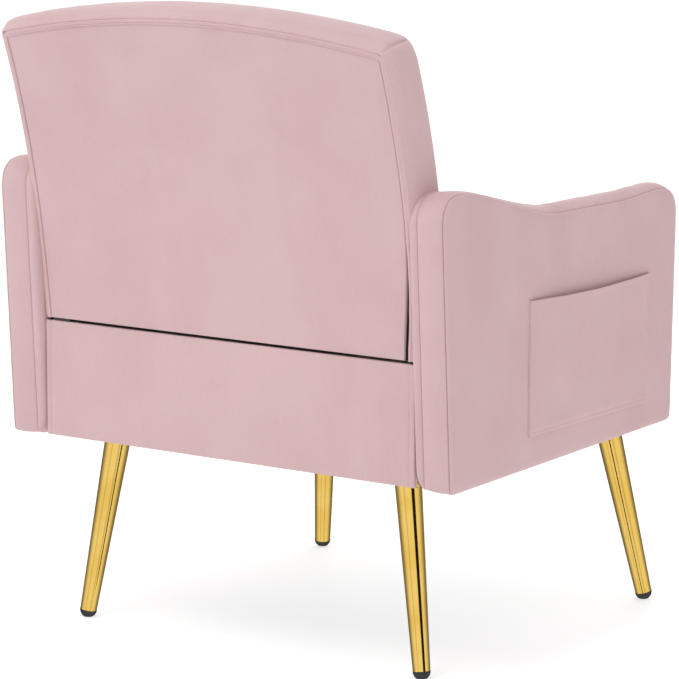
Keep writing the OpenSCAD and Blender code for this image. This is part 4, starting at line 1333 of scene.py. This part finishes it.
def cushion_outline():
    """The cushion from above, anticlockwise, from the middle of its left front corner, with
    the three other corners' places in the list."""
    low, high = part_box("cushion_boxing")
    r, r_rear = CUSHION_FRONT_R, CUSHION_REAR_R
    turn, turn_rear = np.radians(np.linspace(0, 90, 17)), np.radians(np.linspace(0, 90, 7))
    right = np.column_stack([high.x - r + r * np.sin(turn), low.y + r - r * np.cos(turn)])
    right_rear = np.column_stack([high.x - r_rear + r_rear * np.cos(turn_rear),
                                  high.y - r_rear + r_rear * np.sin(turn_rear)])
    left, left_rear = ((points * [-1, 1])[::-1] for points in (right, right_rear))
    half = len(turn) // 2
    loop = np.vstack([left[half:], right, right_rear, left_rear, left[:half + 1]])
    front_right = len(left[half:]) + half
    rear_right = len(left[half:]) + len(right) + len(turn_rear) // 2
    return loop, front_right, rear_right, rear_right + len(turn_rear)


CUSHION_OUTLINE = cushion_outline()


def cushion_flat_grid(shares_x, shares_y):
    """The cushion's panel as a grid of 2-D points."""
    loop, a, b, c = CUSHION_OUTLINE
    front, right = loop[:a + 1], loop[a:b + 1]
    rear, left = loop[b:c + 1], loop[c:]
    return coons(spaced_by_length(front, shares_x), spaced_by_length(rear[::-1], shares_x),
                 spaced_by_length(left[::-1], shares_y), spaced_by_length(right, shares_y))


def grid_border(grid):
    """The points round a grid's edge, as a loop that isn't repeated where it closes."""
    return np.concatenate([grid[:-1, 0], grid[-1, :-1], grid[:0:-1, -1], grid[0, :0:-1]])


def resample(grid, us, vs):
    """A grid read at other shares of its two directions."""
    def along(values, shares):
        place = np.clip(shares, 0, 1) * (len(values) - 1)
        i = np.minimum(place.astype(int), len(values) - 2)
        f = (place - i).reshape((-1,) + (1,) * (values.ndim - 1))
        return values[i] * (1 - f) + values[i + 1] * f
    first = along(grid, us)
    return np.swapaxes(along(np.swapaxes(first, 0, 1), vs), 0, 1)


def sewn_bag(grids):
    """One set of points for several grids, with the points they share made one, its faces,
    and each grid as indices into it."""
    places, index, faces, maps = [], {}, [], []
    for grid, closed in grids:
        ids = np.empty(grid.shape[:2], int)
        for i, j in np.ndindex(*grid.shape[:2]):
            ids[i, j] = index.setdefault(tuple(np.round(grid[i, j], 5)), len(places))
            if ids[i, j] == len(places):
                places.append(grid[i, j])
        maps.append(ids)
        faces += [tuple(ids.flat[list(f)]) for f in grid_faces(*grid.shape[:2], closed)]
    return np.array(places), [f for f in faces if len(set(f)) == 4], maps


def filled(grids):
    """Sews grids of points into one closed bag, fills it by cloth simulation, and returns
    the grids' points where the filling pushed them, no farther than the cap."""
    rest, faces, maps = sewn_bag(grids)
    bag = mesh_object("bag", rest, faces, "velvet")
    reworked(bag.data, lambda work: bmesh.ops.recalc_face_normals(work, faces=work.faces))
    cloth = bag.modifiers.new("Cloth", "CLOTH")
    for key, value in (("quality", 6), ("mass", 0.35), ("tension_stiffness", 25),
                       ("compression_stiffness", 15), ("shear_stiffness", 8),
                       ("bending_stiffness", 1.2), ("use_pressure", True),
                       ("uniform_pressure_force", CUSHION_PRESSURE)):
        setattr(cloth.settings, key, value)
    cloth.settings.effector_weights.gravity = 0
    cloth.collision_settings.use_collision = False
    cloth.point_cache.frame_start, cloth.point_cache.frame_end = 1, CUSHION_STEPS
    scene = bpy.context.scene
    for step in range(1, CUSHION_STEPS + 1):
        scene.frame_set(step)
    done = bag.evaluated_get(bpy.context.evaluated_depsgraph_get())
    move = np.array([v.co for v in done.data.vertices]) - rest
    bpy.data.objects.remove(bag)
    scene.frame_set(1)
    far = np.maximum(np.linalg.norm(move, axis=1)[:, None], 1e-9)
    move = move * np.minimum(1, CUSHION_CAP / far)
    return [(rest + move)[ids] for ids in maps]


def cushion_shapes():
    """The cushion's top, bottom and boxing after filling, as grids over even shares."""
    flat = cushion_flat_grid(np.linspace(0, 1, 60), np.linspace(0, 1, 52)) * [0.996, 1]
    top, bottom = (np.dstack([flat, np.full(flat.shape[:2], z)])
                   for z in (CUSHION_HIGH - 0.004, CUSHION_LOW + 0.0012))
    boxing = between(grid_border(bottom), grid_border(top), np.linspace(0, 1, 13))
    return filled([(top, False), (bottom, False), (boxing, True)])


def held_in(grid):
    """The cushion kept in its own space between the arms, the back and the deck."""
    low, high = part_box("cushion_boxing")
    front_swell = 0.010
    grid = grid.copy()
    grid[..., 0] = np.clip(grid[..., 0], low.x - 0.0012, high.x + 0.0012)
    grid[..., 1] = np.minimum(grid[..., 1], high.y + 0.0008)
    ahead = np.maximum(low.y - grid[..., 1], 0)
    grid[..., 1] += ahead - front_swell * np.tanh(ahead / front_swell)
    grid[..., 2] = np.maximum(grid[..., 2], CUSHION_LOW)
    return grid


def cushion_panels(shapes, centre):
    """The top and the bottom, with fine waves on the top."""
    loop = CUSHION_OUTLINE[0]
    us = spacing(length_of(loop[:18]), NEAR_SEAM, 0.010)
    vs = spacing(length_of(loop[17:30]), NEAR_SEAM, 0.010)
    flat = cushion_flat_grid(us, vs)
    depth = nearest_on(np.vstack([loop, loop[:1]]), flat)[1]
    for name, shape, waves in (("cushion_top_panel", shapes[0], 0.0012),
                               ("cushion_bottom_panel", shapes[1], 0.0)):
        grid = resample(shape, us, vs)
        normal = grid_normals(grid, centre)
        wave = ripples(flat, 72, 0.13, waves) * smooth(depth / 0.05)
        grid = held_in(grid + normal * wave[..., None]) - normal * rolled(depth)[..., None]
        sewn(name, grid, centre,
             body="seat_cushion")


def laid_on_zip(grid, levels):
    """The boxing with the cloth beside its zip laid flat over the tapes."""
    above = (levels - CUSHION_ZIP_V) * CUSHION_TALL
    share = smooth((CUSHION_ZIP_HALF + 0.03 - np.abs(grid[..., 0])) / 0.03)
    share = share * (grid[..., 1] > CUSHION_REAR - 0.03) * smooth(1 - np.abs(above) / 0.05)
    grid[..., 1] += share * (CUSHION_REAR - grid[..., 1])
    grid[..., 2] += share * (CUSHION_ZIP_Z + above - grid[..., 2])


def cushion_boxing(boxing, centre):
    """Two strips, below and above the zip, which stand apart along it."""
    loop = CUSHION_OUTLINE[0]
    around = spacing(length_of(loop), [0, 0.004], 0.010)[:-1]
    boxing = np.concatenate([boxing, boxing[:1]])
    for name, nodes, v0, v1, way in (("cushion_boxing_lower", ("cushion_boxing",), 0.0, CUSHION_ZIP_V, -1),
                                     ("cushion_boxing_upper", (), CUSHION_ZIP_V, 1.0, 1)):
        levels = v0 + spacing((v1 - v0) * CUSHION_TALL, NEAR_SEAM[:-1], 0.010) * (v1 - v0)
        grid = resample(boxing, around, levels)
        laid_on_zip(grid, levels)
        normal = grid_normals(grid, centre, closed=True)
        from_seam = (levels if way < 0 else 1 - levels) * CUSHION_TALL
        from_zip = np.abs(levels - CUSHION_ZIP_V) * CUSHION_TALL
        open_here = smooth((CUSHION_ZIP_HALF - np.abs(grid[..., 0])) / 0.012)
        open_here = open_here * (grid[..., 1] > CUSHION_REAR - 0.012)
        wave = ripples(grid * [1, 1, 0.4], 73, 0.08, 0.0005) * smooth(np.minimum(from_seam, from_zip) / 0.01)
        sunk = rolled(from_seam) + rolled(from_zip) * open_here
        grid = held_in(grid + normal * wave[..., None]) - normal * sunk[..., None]
        grid[..., 2] += way * ZIP_SLOT * (1 - smooth(from_zip / 0.02)) * open_here
        sewn(name, grid, centre,
             nodes=nodes, body="seat_cushion", closed=True)


def cushion_core(shapes, centre):
    """Foam that fills the bag, with room for the zip."""
    low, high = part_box("cushion_zip_tape")
    corners = [(x, y, z) for x in (low.x - 0.003, high.x + 0.003)
               for y in (high.y - 0.008, high.y + 0.05)
               for z in (low.z - 0.001, high.z + 0.001)]
    room = mesh_object("cutter", corners, [(0, 1, 3, 2), (4, 6, 7, 5), (0, 4, 5, 1), (2, 3, 7, 6),
                                           (0, 2, 6, 4), (1, 5, 7, 3)], "foam")
    shells = [(held_in(grid), closed, centre) for grid, closed in zip(shapes, (False, False, True))]
    core = filling("cushion_core_pad", shells, 0.006, 0.0025, [room])
    finish_piece(core, "seat_cushion", "foam", "cushion_core")


def seat_cushion():
    shapes = cushion_shapes()
    centre = (0.0, -0.066, float(shapes[0][..., 2].mean() + shapes[1][..., 2].mean()) / 2)
    cushion_panels(shapes, centre)
    cushion_boxing(shapes[2], centre)
    cushion_core(shapes, centre)


seat_cushion()
